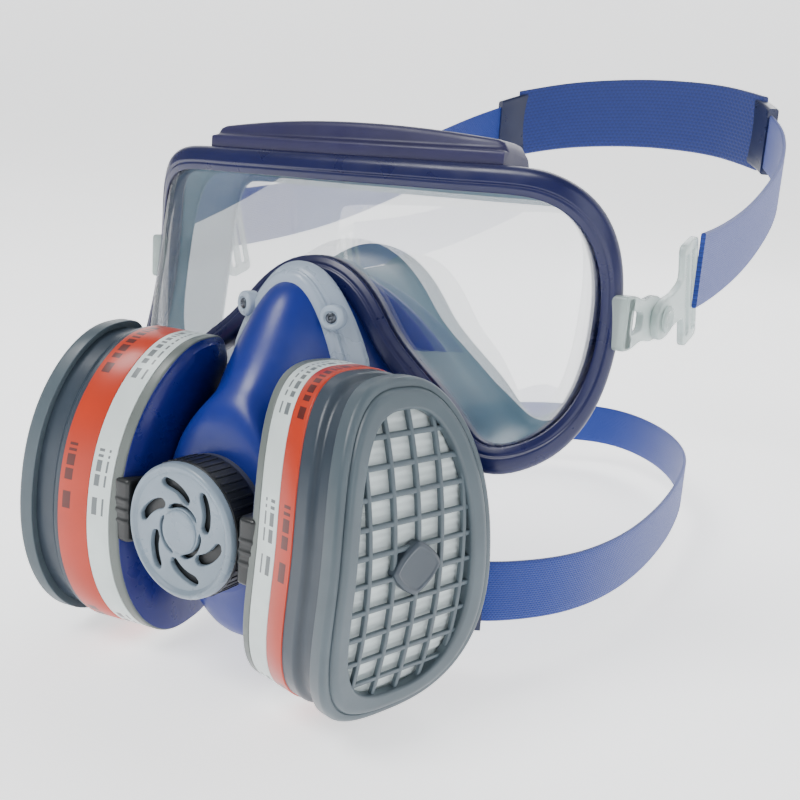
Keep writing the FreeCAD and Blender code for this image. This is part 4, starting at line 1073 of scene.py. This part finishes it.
def band(name, line, width, thickness, wave=0.0, edge=0.6, crown=0.0):
    """A strap of even width with upright walls along a line, slightly uneven where wave is given."""
    line = np.array(line, float)
    ahead = np.gradient(line[:, :2], axis=0)
    ahead /= np.linalg.norm(ahead, axis=1)[:, None]
    across = np.column_stack([-ahead[:, 1], ahead[:, 0]])
    section = strap_section(width, thickness, edge, crown)
    run = np.concatenate([[0], np.cumsum(np.linalg.norm(np.diff(line, axis=0), axis=1))])
    rows, uv = [], []
    for k, spot in enumerate(line):
        ripple = wave * math.sin(run[k] / 17.0) * math.sin(run[k] / 41.0 + 1.0)
        base = spot[:2] + across[k] * ripple + section[:, :1] * across[k]
        rows.append(np.column_stack([base, spot[2] + section[:, 1]]))
        uv.append(np.column_stack([np.full(len(section), run[k]), section[:, 1]]))
    return outward(make_mesh(name, *skin(rows, caps=True), uv=np.concatenate(uv)), weld=False)


HEAD_PATH = [(99.6, 15), (99, 34), (97.5, 62), (95.5, 92), (92.5, 125), (87, 155), (77, 182), (63, 201)]
CROWN_PATH = [(65, 199.5), (44, 209.5), (21, 214.6), (0, 216)]
NECK_PATH = [(46.5, -40.8), (57.5, -37), (67, -28), (76, -13), (82, 10), (83.5, 40), (80.5, 75), (75, 110),
             (66, 145), (50, 178), (27, 204), (0, 216)]
SLIDE_PATH = [(71.5, 191.3), (67, 196.8), (61.5, 202)]
NECK_Z = -47.0


def lifted(path, count, side=1):
    """A smooth head strap line on one side, raised to the height of the strap over the head."""
    line = spline([(side * x, y) for x, y in path], count)
    return [(x, y, head_rise(y)) for x, y in line]


def round_loop(half):
    """A path from one side over to the other, from the points of one half that ends in the middle."""
    return half + [(-x, y) for x, y in reversed(half[:-1])]


def make_head_strap():
    """The two head straps, the slides at the pad's ends and the padded crown piece."""
    for word, side in SIDES:
        strap = band("head_strap_" + word, lifted(HEAD_PATH, 120, side), 24.0, 1.6, wave=0.25)
        finish_piece(strap, "head_harness", "strap", ["head_strap_" + word], 60)
        slide = band("crown_slide_" + word, lifted(SLIDE_PATH, 12, side), 30.0, 5.0, edge=1.4)
        finish_piece(slide, "head_harness", "buckle", ["crown_slide_" + word])
    pad = band("crown_pad", lifted(round_loop(CROWN_PATH), 110), 34.0, 3.4, edge=1.3, crown=0.5)
    finish_piece(pad, "head_harness", "pad", ["crown_pad"], 60)


def make_neck_strap():
    """The level strap from hook to hook behind the neck."""
    line = [(x, y, NECK_Z) for x, y in spline(round_loop(NECK_PATH), 420)]
    strap = band("neck_strap", line, 20.4, 1.5, wave=0.2)
    finish_piece(strap, "neck_harness", "strap", ["neck_strap"], 60)


# ---- CAD nodes that keep their shape

def dress_cad_nodes():
    """Better materials for the CAD pieces that stay."""
    finishes = {"front_frame": "frame", "exhale_valve_seat": "valve", "exhale_flap": "valve_rubber"}
    for word, _ in SIDES:
        finishes.update({"filter_port_" + word: "valve", "inhale_flap_" + word: "valve_rubber",
                         "port_gasket_" + word: "valve_rubber", "media_screen_" + word: "media",
                         "charcoal_bed_" + word: "charcoal", "outlet_screen_" + word: "media",
                         "neck_anchor_" + word: "frame", "neck_hook_" + word: "buckle",
                         "neck_slider_" + word: "buckle"})
    for node, name in finishes.items():
        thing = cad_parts[node]
        thing.data.materials.clear()
        thing.data.materials.append(MATERIAL[name])


# ---- studio

def make_camera():
    """The viewing angle: to the wearer's left of the front, a little above, slightly rolled."""
    azimuth, elevation, roll = (math.radians(angle) for angle in (32.42, 12.63, -4.23))
    distance = 0.37667
    right = Vector((math.cos(azimuth), math.sin(azimuth), 0))
    level = Vector((math.sin(azimuth), -math.cos(azimuth), 0))
    back = level * math.cos(elevation) + Vector((0, 0, math.sin(elevation)))
    up = back.cross(right)
    turned_right = right * math.cos(roll) - up * math.sin(roll)
    turned_up = right * math.sin(roll) + up * math.cos(roll)
    data = bpy.data.cameras.new("camera")
    data.sensor_width = 36.0
    data.lens = 45.65
    data.clip_start = 0.01
    camera = placed("camera", data)
    turn = Matrix((turned_right, turned_up, back)).transposed().to_4x4()
    camera.matrix_world = Matrix.Translation(back * distance) @ turn
    bpy.context.scene.camera = camera


def area_light(name, place, target, size, power, color=(1, 1, 1)):
    """A square soft light that faces its target."""
    data = bpy.data.lights.new(name, "AREA")
    data.size = size
    data.energy = power
    data.color = color
    light = placed(name, data)
    light.location = place
    light.rotation_euler = (Vector(target) - Vector(place)).to_track_quat("-Z", "Y").to_euler()


def make_studio():
    """A pale seamless floor and wall, and three soft lights."""
    reach, wall, height, clearance = 9000, 3200, 8000, 4
    low = CAD_BOX[0][2] / MM - clearance
    profile = rounded([(-reach, 0), (wall, 0, 1500), (wall, height)], 10, 24, closed=False)
    rows = [[(x, y, z + low) for x in (-reach, 0, reach)] for y, z in profile]
    floor = make_mesh("floor", *skin(rows, loop=False))
    paper = Shader("floor_paper", (0.93, 0.935, 0.94), 0.85, Emission_Strength=1.15)
    paper.surface.inputs["Emission Color"].default_value = (1, 1, 1, 1)
    paper.base(paper.ramp(paper.noise(3), (0.92, 0.925, 0.93), (0.95, 0.95, 0.955)))
    floor.data.materials.append(paper.material)
    world = bpy.data.worlds.new("studio")
    bpy.context.scene.world = world
    world.use_nodes = True
    sky = world.node_tree.nodes["Background"]
    sky.inputs["Color"].default_value = (0.93, 0.96, 1.0, 1)
    sky.inputs["Strength"].default_value = 0.34
    middle = (0, 0.02, 0.02)
    area_light("key", (-0.35, -0.85, 1.15), middle, 0.6, 15)
    area_light("fill", (1.3, -0.6, 0.5), middle, 0.9, 6, (0.94, 0.97, 1.0))
    area_light("back", (-0.2, 1.4, 1.3), middle, 1.0, 11)


make_filters()
make_valve_cover()
make_cover_side()
make_mask()
make_saddle()
make_rivets()
make_goggles()
make_vent()
make_clips()
make_head_strap()
make_neck_strap()
dress_cad_nodes()
make_camera()
make_studio()
